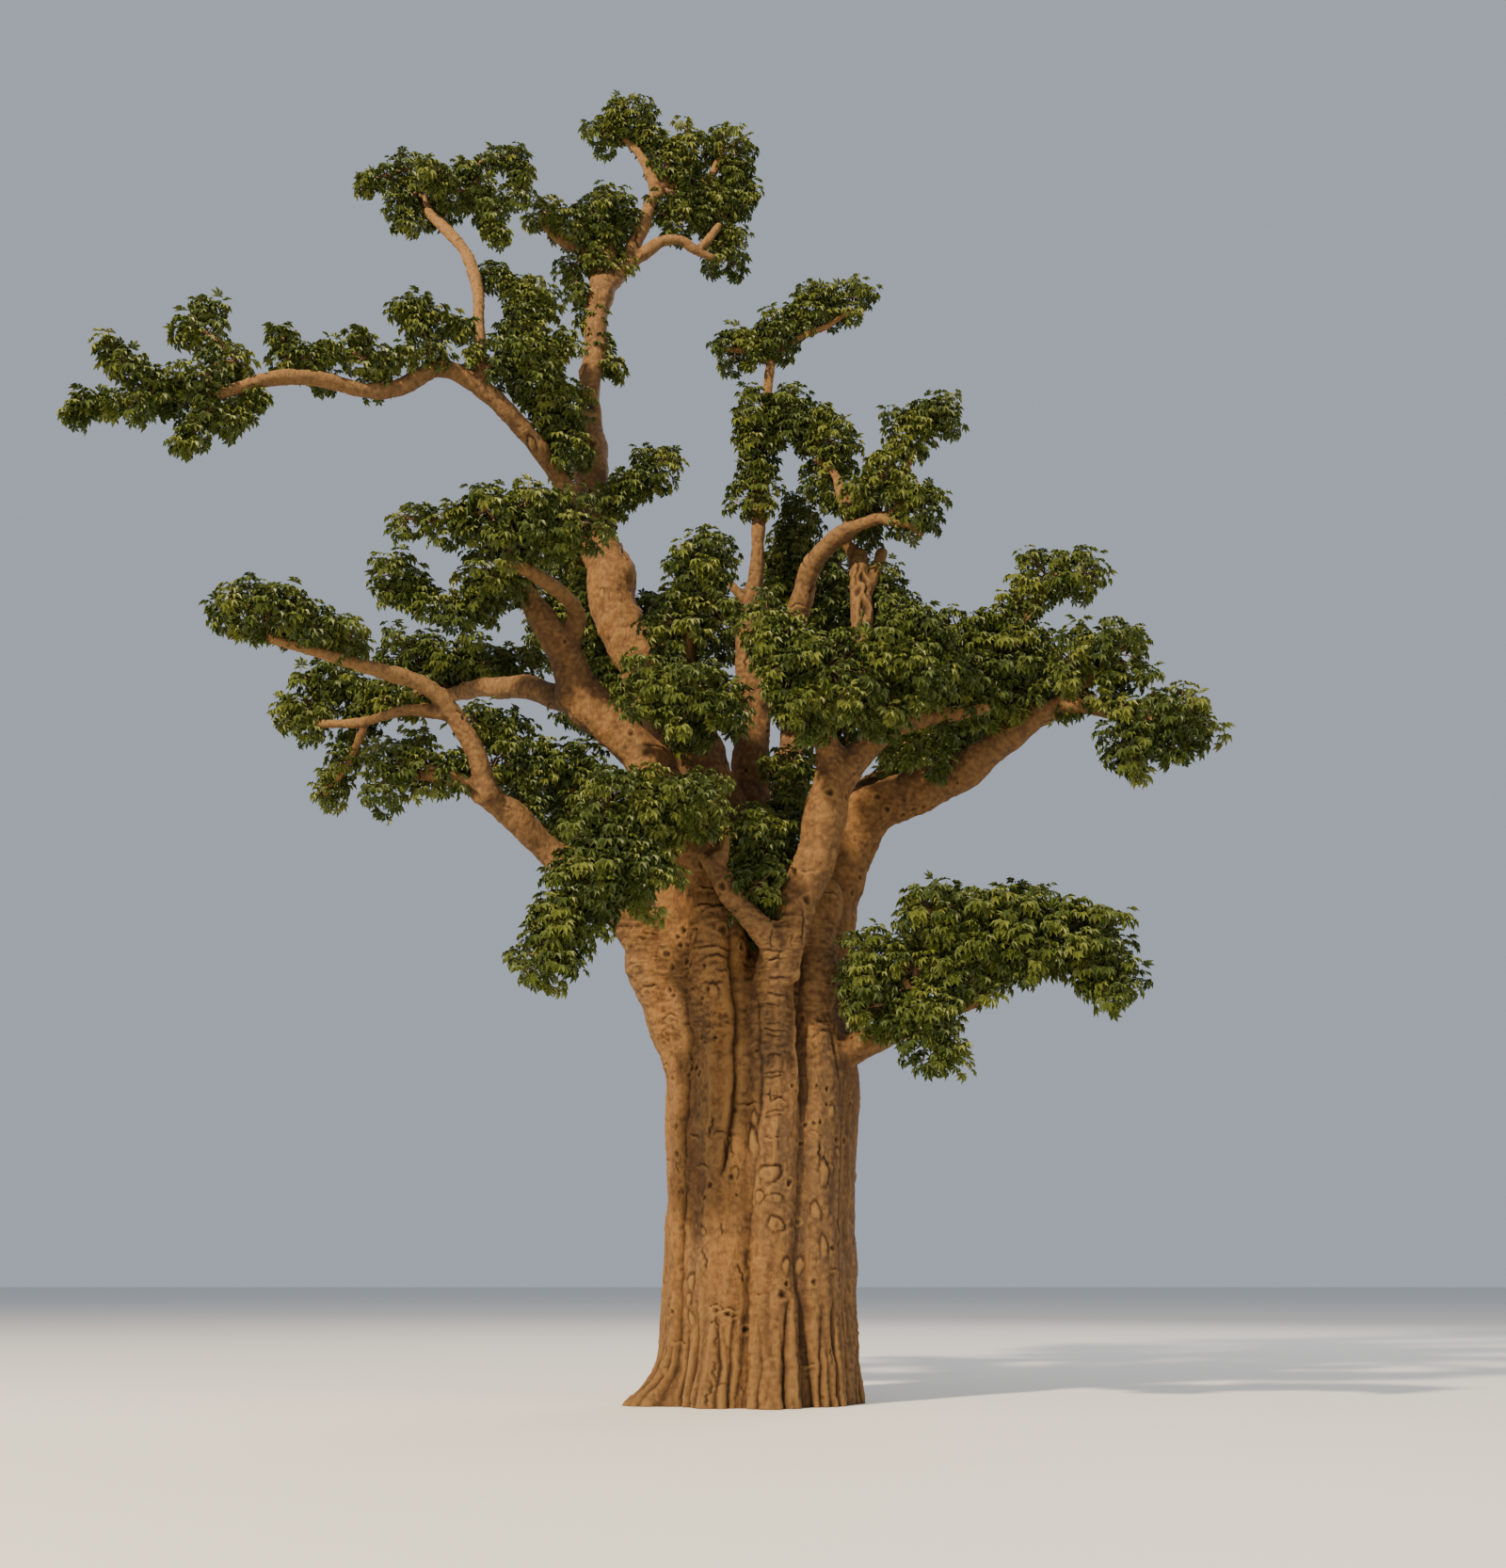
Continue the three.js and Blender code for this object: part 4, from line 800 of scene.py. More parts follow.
def noise(points, seed):
    """Smooth noise from -1 to 1 at each point."""
    cell = np.floor(points).astype(np.int64)
    part = points - cell
    part = part * part * (3 - 2 * part)
    total = np.zeros(len(points))
    for corner in product((0, 1), repeat=3):
        key = (cell + corner) @ np.array(HASH_STEPS) + seed * HASH_SEED
        key = (key ^ (key >> 13)) * HASH_FACTOR & 0xFFFFFFFF
        value = ((key ^ (key >> 15)) & 0xFFFF) / 32767.5 - 1
        weight = np.prod(np.where(corner, part, 1 - part), axis=1)
        total += value * weight
    return total


def curve_at(points, places):
    """The centripetal curve through points, at places from 0 to 1."""
    points = np.asarray(points, float)
    knots = np.vstack([2 * points[0] - points[1], points, 2 * points[-1] - points[-2]])
    gaps = np.sqrt(np.linalg.norm(np.diff(knots, axis=0), axis=1))
    spans = len(points) - 1
    along = np.clip(np.asarray(places, float) * spans, 0, spans)
    index = np.minimum(along.astype(int), spans - 1)
    part = (along - index)[:, None]
    x0, x1, x2, x3 = (knots[index + k] for k in range(4))
    d0, d1, d2 = (gaps[index + k][:, None] for k in range(3))
    out = ((x1 - x0) / d0 - (x2 - x0) / (d0 + d1) + (x2 - x1) / d1) * d1
    into = ((x2 - x1) / d1 - (x3 - x1) / (d1 + d2) + (x3 - x2) / d2) * d1
    cubic = (2 * (x1 - x2) + out + into) * part**3
    return x1 + out * part + (3 * (x2 - x1) - 2 * out - into) * part**2 + cubic


def axis_beside(directions):
    """An axis for each direction that it doesn't lie along: the upright one, or else X."""
    return np.where(np.abs(directions[:, 2:]) < UPRIGHT, (0.0, 0.0, 1.0), (1.0, 0.0, 0.0))


def sweep(lines, girths, sides):
    """Closed tubes along lines (tubes, rings, 3) with a radius at each ring: corners, triangles."""
    count, rings = girths.shape
    heading = unit(np.gradient(lines, axis=1))
    side = unit(np.cross(heading[:, 0], axis_beside(heading[:, 0])))
    sides_on = []
    for ring in range(rings):
        along = heading[:, ring]
        side = unit(side - np.sum(side * along, axis=1, keepdims=True) * along)
        sides_on.append(side)
    side = np.stack(sides_on, axis=1)
    across = np.cross(heading, side)
    turn = np.arange(sides) * 2 * math.pi / sides
    spokes = np.cos(turn)[:, None] * side[:, :, None] + np.sin(turn)[:, None] * across[:, :, None]
    skin = (lines[:, :, None] + girths[:, :, None, None] * spokes).reshape(count, -1, 3)
    corners = np.concatenate([skin, lines[:, :1], lines[:, -1:]], axis=1)
    k = np.arange(sides)
    after = (k + 1) % sides
    low = np.arange(rings - 1)[:, None] * sides
    a, b, c, d = low + k, low + after, low + sides + after, low + sides + k
    wall = np.concatenate([np.stack([a, b, c], -1).reshape(-1, 3),
                           np.stack([a, c, d], -1).reshape(-1, 3)])
    foot = np.stack([np.full(sides, rings * sides), after, k], -1)
    top = (rings - 1) * sides
    head = np.stack([np.full(sides, rings * sides + 1), top + k, top + after], -1)
    faces = np.concatenate([wall, foot, head])
    offsets = np.arange(count)[:, None, None] * corners.shape[1]
    return corners.reshape(-1, 3), (faces[None] + offsets).reshape(-1, 3)


def joined(parts):
    """Several (corners, triangles) as one."""
    corners, faces, base = [], [], 0
    for points, triangles in parts:
        corners.append(points)
        faces.append(triangles + base)
        base += len(points)
    return np.concatenate(corners), np.concatenate(faces)


def mesh_of(name, corners, faces):
    """A mesh from corners and triangles, with smooth shading."""
    mesh = bpy.data.meshes.new(name)
    mesh.vertices.add(len(corners))
    mesh.vertices.foreach_set("co", np.asarray(corners, np.float32).ravel())
    mesh.loops.add(faces.size)
    mesh.loops.foreach_set("vertex_index", np.asarray(faces, np.int32).ravel())
    mesh.polygons.add(len(faces))
    mesh.polygons.foreach_set("loop_start", np.arange(0, faces.size, 3, dtype=np.int32))
    mesh.polygons.foreach_set("use_smooth", np.ones(len(faces), bool))
    mesh.update(calc_edges=True)
    return mesh


def object_of(name, mesh):
    """A mesh as an object in the scene."""
    piece = bpy.data.objects.new(name, mesh)
    bpy.context.scene.collection.objects.link(piece)
    return piece


def evaluated(piece):
    """The mesh of a piece with its modifiers applied, and the piece removed."""
    bpy.context.view_layer.update()
    shown = piece.evaluated_get(bpy.context.evaluated_depsgraph_get())
    mesh = bpy.data.meshes.new_from_object(shown)
    bpy.data.objects.remove(piece)
    return mesh


def move_corners(mesh, points):
    """Put the corners of a mesh where the points are."""
    mesh.vertices.foreach_set("co", points.astype(np.float32).ravel())
    mesh.update()


def values_at_corners(mesh, what):
    """The places or the normals of a mesh's corners as an array."""
    found = np.zeros(len(mesh.vertices) * 3, np.float32)
    mesh.vertices.foreach_get(what, found)
    return found.reshape(-1, 3).astype(float)


def corners_of(mesh):
    """The corners of a mesh as an array."""
    return values_at_corners(mesh, "co")


def normals_of(mesh):
    """The corner normals of a mesh as an array."""
    return values_at_corners(mesh, "normal")


def set_values(mesh, name, values):
    """A number at each corner of a mesh, kept as an attribute."""
    attribute = mesh.attributes.new(name, "FLOAT", "POINT")
    attribute.data.foreach_set("value", values.astype(np.float32))


def values_of(mesh, name):
    """The numbers that an attribute keeps at each corner."""
    found = np.zeros(len(mesh.vertices), np.float32)
    mesh.attributes[name].data.foreach_get("value", found)
    return found


def trunk_relief(degrees, height):
    """How far the trunk's skin lies outside its ring, from the columns and their toes."""
    crests = np.array([column[0] for column in COLUMNS], float)
    folds = np.array([column[1] for column in COLUMNS])
    toes = np.array([column[2] for column in COLUMNS])
    angle = np.mod(degrees, 360)
    index = (np.searchsorted(crests, angle, side="right") - 1) % len(crests)
    after = (index + 1) % len(crests)
    span = np.mod(crests[after] - crests[index], 360)
    part = np.mod(angle - crests[index], 360) / span
    wave = np.abs(np.cos(math.pi * part))
    spread = np.maximum(0, 1 - height / TOE_HEIGHT) ** 2
    toe = np.where(part < 0.5, toes[index], toes[after])
    return toe * wave * spread - folds[index] * (1 - np.sqrt(wave))


def trunk_middle(height):
    """Middle x and half width of the trunk at each height."""
    heights, middles, widths = zip(*RINGS)
    dome = np.sqrt(np.clip((DOME_TOP - height) / (DOME_TOP - DOME_FOOT), 0, 1))
    return np.interp(height, heights, middles), np.interp(height, heights, widths) * dome


def trunk_shell():
    """The trunk as a closed shell that starts below the ground, where it is cut later."""
    heights = np.arange(-CUT_DEPTH, DOME_TOP, TRUNK_STEP)
    turn = np.arange(TRUNK_SIDES) * 2 * math.pi / TRUNK_SIDES
    height, angle = np.meshgrid(heights, turn, indexing="ij")
    middle, width = trunk_middle(height)
    radius = width + trunk_relief(np.degrees(angle), np.maximum(height, 0))
    skin = np.stack([middle + radius * np.cos(angle), radius * np.sin(angle) * DEPTH, height], -1)
    lines = np.stack([middle[:, 0], np.zeros(len(heights)), heights], -1)
    corners, faces = sweep(lines[None], np.ones((1, len(heights))), TRUNK_SIDES)
    corners[:skin.size // 3] = skin.reshape(-1, 3)
    return corners, faces


def limb_line(rows, flare, seed):
    """Points along a limb, evenly spaced, with its radius at each."""
    points = np.array(rows, float)
    shares = np.linspace(0, 1, CURVE_SAMPLES)
    rough = curve_at(points[:, :3], shares)
    length = np.concatenate([[0], np.cumsum(np.linalg.norm(np.diff(rough, axis=0), axis=1))])
    along = np.linspace(0, length[-1], max(LEAST_RINGS, int(length[-1] / LINE_STEP)))
    places = np.interp(along, length, shares)
    radii = np.interp(places * (len(points) - 1), np.arange(len(points)), points[:, 3])
    track = np.stack([along, along * 0, along * 0], -1)
    lumps = sum(rise * noise(track / size, seed + shift) for rise, size, shift in LIMB_LUMPS)
    widening = flare * np.maximum(0, 1 - along / FLARE_REACH) ** 2
    sway = np.stack([noise(track / SWAY_SIZE, seed + shift) for shift in SWAY_SEEDS], -1)
    ease = np.minimum(1, np.minimum(along, along[-1] - along) / SWAY_EASE)
    line = curve_at(points[:, :3], places) + sway * (LIMB_SWAY * radii * ease)[:, None]
    return line, radii * (1 + lumps + widening)


def limb_shell(line, radii):
    """A limb as a closed tube with a round tip, a little thicker where smoothing thins it."""
    heading = unit(line[-1:] - line[-2:-1])
    rise = np.array(TIP_RINGS)
    tip = line[-1] + heading * (rise * radii[-1])[:, None]
    girth = radii[-1] * np.sqrt(1 - rise**2)
    radii = np.concatenate([radii, girth])
    radii = radii + SHRINKAGE / np.maximum(radii, SHRINKAGE_GIRTH)
    return sweep(np.vstack([line, tip])[None], radii[None], LIMB_SIDES)


def smoothed(mesh, weights, rounds):
    """The corners of a mesh, each moved again and again towards the mean of its neighbours."""
    edges = np.zeros(len(mesh.edges) * 2, np.int32)
    mesh.edges.foreach_get("vertices", edges)
    a, b = edges.reshape(-1, 2).T
    corners = corners_of(mesh)
    count = len(corners)
    degree = np.maximum(np.bincount(a, minlength=count) + np.bincount(b, minlength=count), 1)
    for _ in range(rounds):
        mean = np.empty_like(corners)
        for k in range(3):
            mean[:, k] = (np.bincount(a, corners[b, k], count)
                          + np.bincount(b, corners[a, k], count)) / degree
        corners += weights[:, None] * (mean - corners)
    return corners


def beside_paths(points, paths):
    """The deepest of several grooves, each along a path of heights and angles, at each point."""
    height = points[:, 2]
    middle, width = trunk_middle(height)
    angle = np.degrees(np.arctan2(points[:, 1] / DEPTH, points[:, 0] - middle))
    flat = height * 0
    wander = sum(degrees * noise(np.stack([height * rate, flat, flat + place], -1), FOLD_SEED)
                 for degrees, rate, place in FOLD_WANDER)
    mean, spread, rate, span, seed = FOLD_BREAKS
    broken = mean + spread * noise(np.stack([height * rate, angle / span, flat], -1), seed)
    blunt, sharp, sharpness = FOLD_SECTION
    deepest = np.zeros(len(points))
    for depth, half, *path in paths:
        heights, angles = zip(*path)
        away = np.mod(angle + wander - np.interp(height, heights, angles) + 180, 360) - 180
        arc = np.abs(np.radians(away)) * width / half
        ends = (np.clip((height - heights[0]) / FOLD_FOOT + (heights[0] <= 0), 0, 1)
                * np.clip((heights[-1] - height) / FOLD_HEAD, 0, 1))
        section = blunt * np.exp(-arc**2) + sharp * np.exp(-sharpness * arc)
        deepest = np.maximum(deepest, depth * broken * ends * section)
    return deepest


def hollow_mark(kind, out, size):
    """A hole with a raised lip round it, with painted shade in the hole and a painted highlight on
    the lip.
    """
    fall, width, depth, rise, paleness = HOLLOWS[kind]
    hole = np.exp(-fall * out**2)
    lip = np.exp(-((out - LIP_PLACE) / width) ** 2)
    return size * (rise * lip - depth * hole), hole, paleness * lip


def scar_mark(kind, a, b, out, size, phase):
    """A low, paler cushion inside a groove that is deepest at its top; a ring has a faint slit too.
    Groove and slit carry painted shade.
    """
    place, half, rise, depth, darkness, paleness = SCARS[kind]
    edge, steepness = SCAR_EDGE
    mean, spread, turn = SCAR_TOP
    inside = 1 / (1 + np.exp((out - edge) * steepness))
    upper = mean + spread * np.sin(np.arctan2(b, a) + phase % turn)
    groove = np.exp(-((out - place) / half) ** 2) * upper
    if kind == "ring":
        drift, slant, width, tall, share = SLIT
        across = (a - drift * np.sin(phase) + slant * b) / width
        groove = np.maximum(groove, share * np.exp(-across**2 - (b / tall) ** 2))
    return size * (rise * inside - depth * groove), darkness * groove, paleness * inside


def groove_mark(kind, a, b, size, phase):
    """A narrow groove on a wavy course, with painted shade in it; a crease has a roll beside it
    with a painted highlight.
    """
    half, end, fade, depth, darkness = GROOVES[kind]
    along, across = (b, a) if kind == "crack" else (a, b)
    course = sum(rise * np.sin(rate * along + share * phase) for rise, rate, share in COURSES[kind])
    if kind == "line":
        course += LINE_SLANT * along * math.sin(phase)
    if kind == "crease":
        rise, mean, spread = CREASE_BOW
        course += rise - (mean + spread * math.sin(phase)) * along**2
    reach = np.clip((end - np.abs(along)) / fade, 0, 1)
    groove = np.exp(-((across - course) / half) ** 2) * reach
    if kind != "crease":
        return -depth * size * groove, darkness * groove, np.zeros_like(groove)
    place, width, rise, paleness = ROLL
    roll = np.exp(-((across - course + place) / width) ** 2) * reach
    return size * (rise * roll - depth * groove), darkness * groove, paleness * roll


def mark_shapes(kind, a, b, size, phase):
    """Offset in metres, painted shade and paleness of a mark, at shares a and b of its half size.
    """
    if kind in GROOVES:
        return groove_mark(kind, a, b, size, phase)
    around = np.arctan2(b, a)
    uneven = sum(rise * np.sin(count * around + share * phase)
                 for rise, count, share in EDGE_WAVES)
    out = np.hypot(a, b) * (1 + uneven)
    if kind in HOLLOWS:
        return hollow_mark(kind, out, size)
    return scar_mark(kind, a, b, out, size, phase)


def marks_on(points, marks):
    """Offset, painted shade and paleness at each point, from marks of kind, place, normal and size.
    """
    offset = np.zeros(len(points))
    painted_shade = np.zeros(len(points))
    pale = np.zeros(len(points))
    order = np.argsort(points[:, 2])
    heights = points[order, 2]
    for index, (kind, place, normal, width, height, tilt) in enumerate(marks):
        reach = max(width, height) * MARK_DEPTH
        low, high = np.searchsorted(heights, (place[2] - reach, place[2] + reach))
        near = order[low:high]
        away = points[near] - place
        close = np.abs(away @ normal) < reach
        near, away = near[close], away[close]
        side = unit(np.cross((0.0, 0.0, 1.0), normal))
        up = np.cross(normal, side)
        side, up = (math.cos(tilt) * side + math.sin(tilt) * up,
                    math.cos(tilt) * up - math.sin(tilt) * side)
        a, b = away @ side / (width / 2), away @ up / (height / 2)
        inside = np.hypot(a, b) < MARK_REACH
        near, a, b = near[inside], a[inside], b[inside]
        move, shade, light = mark_shapes(kind, a, b, min(width, height), index * PHASE_STEP)
        offset[near] += move
        painted_shade[near] = np.maximum(painted_shade[near], shade)
        pale[near] = np.maximum(pale[near], light)
    return offset, painted_shade, pale


def front_marks(dice):
    """The marks seen from the front, each with its kind, x, z, width, height and tilt."""
    wanted = [(*mark, dice.normal(0, MARK_TILT)) for mark in MARKS]
    z, top = LADDER_HEIGHTS
    while z < top:
        wanted.append(("line", LADDER_X + dice.normal(0, LADDER_DRIFT), z,
                       dice.uniform(*LADDER_WIDTHS), dice.uniform(*LADDER_THICKNESS),
                       dice.normal(0, LADDER_TILT)))
        z += dice.uniform(*LADDER_GAPS)
    for _ in range(CROWD_COUNT):
        size = dice.uniform(*CROWD_SIZES)
        wanted.append(("pit", dice.uniform(*CROWD_X), dice.uniform(*CROWD_HEIGHTS), size,
                       size * dice.uniform(*CROWD_TALLNESS), dice.normal(0, CROWD_TILT)))
    return wanted


def placed_marks(points, normals, girth):
    """Every mark with its place on the skin: those seen from the front, and scattered ones."""
    dice = np.random.default_rng(MARK_SEED)
    found = []
    for kind, x, z, wide, tall, tilt in front_marks(dice):
        gap = np.hypot(points[:, 0] - x, points[:, 2] - z)
        near = np.flatnonzero(gap < gap.min() + 2 * VOXEL)
        nearest = near[np.argmin(points[near, 1])]
        found.append((kind, points[nearest], unit(normals[nearest]), wide, tall, tilt))
    height = points[:, 2]
    beside_heart = np.hypot(*points[:, :2].T) < SCATTER_REACH
    trunk = np.flatnonzero((height > SCATTER_FOOT) & (height < SCATTER_SPLIT) & beside_heart)
    boughs = np.flatnonzero((height > SCATTER_SPLIT) & (girth > SCATTER_GIRTH))
    for area, (count, largest) in ((trunk, TRUNK_SCATTER), (boughs, BOUGH_SCATTER)):
        for at in dice.choice(area, count, replace=False):
            kind = SCATTERED_KINDS[dice.integers(len(SCATTERED_KINDS))]
            size = dice.uniform(SCATTER_LEAST, largest)
            wide, tall = SCATTERED_SHAPES[kind]
            found.append((kind, points[at], unit(normals[at]), size * wide, size * tall,
                          dice.normal(0, SCATTER_TILT)))
    return found


def ribs_at_foot(points, girth, drawn_out):
    """How far the ribs at the trunk's foot stand out, and the grooves between them go in."""
    count, top, least = RIBS
    wander, size, seed = RIB_WANDER
    angle = np.arctan2(points[:, 1], points[:, 0])
    base = np.clip(1 - points[:, 2] / top, 0, 1) * (girth > least)
    rib = np.abs(np.sin(count * angle + wander * noise(drawn_out / size, seed)))
    return RIB_HEIGHT * base * rib - RIB_DEPTH * base * (1 - rib) ** 2


def bark_relief(points, girth):
    """How far lumps, streaks, wrinkles and creases move each point of the bark outwards."""
    wide = np.clip(girth / FULL_GRAIN_GIRTH, LEAST_GRAIN, 1)
    upright = np.clip((DRAWN_TOP - points[:, 2]) / DRAWN_FADE, 0, 1)[:, None]
    drawn_out = points * (1 - upright * (0, 0, DRAWN_OUT))
    rise = np.zeros(len(points))
    for height, size, seed, upwards, lower in GRAIN:
        grain = noise((drawn_out if upwards else points) / size, seed)
        rise += height * (wide if lower else 1) * grain
    bend, size, seed = WARP
    warp = bend * noise(points / size, seed)[:, None]
    size, seed, contrast, shift = PATCHES
    patch = np.clip(noise(points / size, seed) * contrast + shift, 0, 1)
    depth, size, seed, half = CREASES
    crease = np.maximum(0, half - np.abs(noise(drawn_out / size + warp, seed))) / half
    height, size, seed, flatness = ROLLS
    rolls = noise(points * flatness / size + warp, seed)
    rise += wide * (height * (1 - patch) * rolls - depth * patch * crease)
    return rise + ribs_at_foot(points, girth, drawn_out)


def grown_together():
    """Trunk and limbs as one rough skin, and the radius of the wood at each of its corners."""
    parts = [trunk_shell()]
    samples = [((0.0, 0.0, z), HEART_GIRTH) for z in np.arange(*HEART_HEIGHTS)]
    limbs = [(([FEET[name]] if name in FEET else []) + list(rows),
              0 if name in FEET else ROOT_FLARE) for name, (_, *rows) in BOUGHS.items()]
    limbs += [(rows, ROOT_FLARE) for rows in BRANCHES.values()]
    limbs += [(rows, 0) for rows in WEBS]
    for seed, (rows, flare) in enumerate(limbs):
        line, radii = limb_line(rows, flare, seed)
        parts.append(limb_shell(line, radii))
        samples += list(zip(line, radii))
    raw = object_of("raw", mesh_of("raw", *joined(parts)))
    remesh = raw.modifiers.new("remesh", "REMESH")
    remesh.mode = "VOXEL"
    remesh.voxel_size = VOXEL
    mesh = evaluated(raw)
    tree = kdtree.KDTree(len(samples))
    for i, (place, _) in enumerate(samples):
        tree.insert(place, i)
    tree.balance()
    radii = np.array([radius for _, radius in samples])
    return mesh, radii[[tree.find(corner)[1] for corner in corners_of(mesh)]]


def shade_bark(mesh, points, girth, folds, painted_shade, pale):
    """Keep as attributes of its corners the bark's painted shade in folds, hollows and marks, its
    paleness, which is painted highlight on crests, lips and rolls and the lighter tone of scars,
    and its greyness, which is the tone of young wood and painted shade high up.
    """
    strength, rounds, fineness, least = HOLLOW_SEARCH
    rounds = int(rounds * (fineness / VOXEL) ** 2) + least
    around = smoothed(mesh, np.full(len(points), strength), rounds)
    hollow = np.sum((around - points) * normals_of(mesh), axis=1)
    # Painted shade: the bark's colour is dimmed in folds and hollows, where shade falls
    share, depth, power = FOLD_SHADE
    painted_shade = np.maximum(painted_shade, share * np.clip(folds / depth, 0, 1) ** power)
    start, span, most = HOLLOW_SHADE
    set_values(mesh, "painted_shade", np.maximum(painted_shade, np.clip((hollow - start) / span, 0, most)))
    # Painted highlight: the bark is made paler on crests, where light falls
    span, most = CREST_PAINTED_HIGHLIGHT
    set_values(mesh, "pale", np.maximum(pale, np.clip(-hollow / span, 0, most)))
    # Greyness: the own tone of thin young wood, and painted shade of the crown on wood high up
    most, start, span = HIGH_BOUGH_PAINTED_SHADE
    painted_shade_high_up = most * np.clip((points[:, 2] - start) / span, 0, 1)
    set_values(mesh, "young", np.clip(1 - girth / YOUNG_GIRTH, 0, 1) + painted_shade_high_up)


def bark_mesh():
    """The trunk and all limbs as one skin with folds, lumps and marks, told in attributes too."""
    mesh, girth = grown_together()
    strength, full_girth, least, power = SMOOTHING_STRENGTH
    weights = strength * np.clip(girth / full_girth, least, 1) ** power
    rounds = int(SMOOTHING_ROUNDS * (SMOOTHING / VOXEL) ** 2)
    move_corners(mesh, smoothed(mesh, weights, rounds))

    points, normals = corners_of(mesh), normals_of(mesh)
    near_trunk = np.hypot(points[:, 0], points[:, 1]) < FOLD_REACH
    low = np.clip((FOLD_TOP - points[:, 2]) / FOLD_FADE, 0, 1) * near_trunk
    folds = beside_paths(points, FOLDS) * low
    marked, painted_shade, pale = marks_on(points, placed_marks(points, normals, girth))
    rise = bark_relief(points, girth) + marked - folds + beside_paths(points, RIDGES) * low
    points += normals * rise[:, None]
    move_corners(mesh, points)
    shade_bark(mesh, points, girth, folds, painted_shade, pale)

    full = object_of("full", mesh)
    less = full.modifiers.new("less", "DECIMATE")
    less.ratio = min(1.0, BARK_TRIANGLES / (2 * len(mesh.polygons)))
    return evaluated(full)


def cut_flat(mesh):
    """The mesh with all below the ground cut away and the cut closed."""
    work = bmesh.new()
    work.from_mesh(mesh)
    every = work.verts[:] + work.edges[:] + work.faces[:]
    cut = bmesh.ops.bisect_plane(work, geom=every, plane_co=(0, 0, 0), plane_no=(0, 0, 1),
                                 clear_inner=True)
    rim = [item for item in cut["geom_cut"] if isinstance(item, bmesh.types.BMEdge)]
    bmesh.ops.holes_fill(work, edges=rim)
    bmesh.ops.triangulate(work, faces=work.faces[:])
    work.to_mesh(mesh)
    work.free()


def bark_pieces(material):
    """The bark in three pieces, with its painted shade, its paleness from painted highlights and
    scars, and its greyness as attributes.
    """
    mesh = bark_mesh()
    cut_flat(mesh)
    points, normals = corners_of(mesh), normals_of(mesh)
    rim = points[:, 2] < RIM_HEIGHT
    normals[rim, 2] = 0
    normals[rim] = unit(normals[rim])
    shades = {name: values_of(mesh, name) for name in ("painted_shade", "pale", "young")}
    faces = np.zeros(len(mesh.loops), np.int32)
    mesh.loops.foreach_get("vertex_index", faces)
    faces = faces.reshape(-1, 3)
    middle = points[faces].mean(axis=1)
    region = np.where(middle[:, 2] < TRUNK_TOP, 0, np.where(middle[:, 0] < BARK_SPLIT, 1, 2))
    regions = {
        "bark_trunk": ["trunk"],
        "bark_left": [name for name in BOUGHS if BOUGHS[name][-1][0] < BARK_SPLIT],
        "bark_right": [name for name in BOUGHS if BOUGHS[name][-1][0] >= BARK_SPLIT],
    }
    for index, (name, nodes) in enumerate(regions.items()):
        own = faces[region == index]
        used, own = np.unique(own, return_inverse=True)
        own = own.reshape(-1, 3)
        piece = object_of(name, mesh_of(name, points[used], own))
        for title, values in shades.items():
            set_values(piece.data, title, values[used])
        facing = normals[used][own]
        facing[rim[used][own].all(axis=1)] = (0, 0, -1)
        piece.data.normals_split_custom_set(facing.reshape(-1, 3))
        piece.data.materials.append(material)
        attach(piece, "root")
        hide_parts(*[node if node == "trunk" else f"bough_{node}" for node in nodes])


def nearest_on_limb(name, goal, taken):
    """Where a limb passes nearest to a point, away from the places that are taken."""
    points = HEART if name == "trunk" else [row[:3] for row in BOUGHS[name][1:]]
    free = [place for place in curve_at(points, np.linspace(0, 1, LIMB_PLACES))
            if all(np.linalg.norm(place - other) > LIMB_CLEARANCE for other in taken)]
    return min(free, key=lambda place: np.linalg.norm(place - goal))


def links_of(root, lumps):
    """Root to first lump, then each other lump from the nearest one joined before."""
    rest = [np.array(lump[:3], float) for lump in lumps]
    joined_lumps = [rest.pop(0)]
    links = [(root, joined_lumps[0])]
    while rest:
        pairs = [(np.linalg.norm(a - b), i, j)
                 for i, a in enumerate(joined_lumps) for j, b in enumerate(rest)]
        _, i, j = min(pairs)
        links.append((joined_lumps[i], rest[j]))
        joined_lumps.append(rest.pop(j))
    return links


def bowed(start, end, sag, rings):
    """A line from start to end that bows upwards by a share of its length, (count, rings, 3)."""
    part = np.linspace(0, 1, rings)[None, :, None]
    straight = start[:, None] + (end - start)[:, None] * part
    length = np.linalg.norm(end - start, axis=1)[:, None, None]
    bow = 4 * part * (1 - part) * sag[:, None, None] * length
    return straight + bow * np.array((0, 0, 1.0))


def filled(links, lumps):
    """The lumps of a mass, and smaller ones along its links, so that leaves hug the twigs."""
    sizes = {tuple(lump[:3]): lump[3] for lump in lumps}
    root_size = ROOT_SIZE * lumps[0][3]
    grown = list(lumps)
    for start, end in links:
        count = int(np.linalg.norm(end - start) / FILL_SPACING)
        ends = (sizes.get(tuple(start), root_size), sizes[tuple(end)])
        for k in range(1, count + 1):
            part = k / (count + 1)
            radius = FILL_SIZE * (ends[0] * (1 - part) + ends[1] * part)
            grown.append((*(start + (end - start) * part), radius))
    return grown


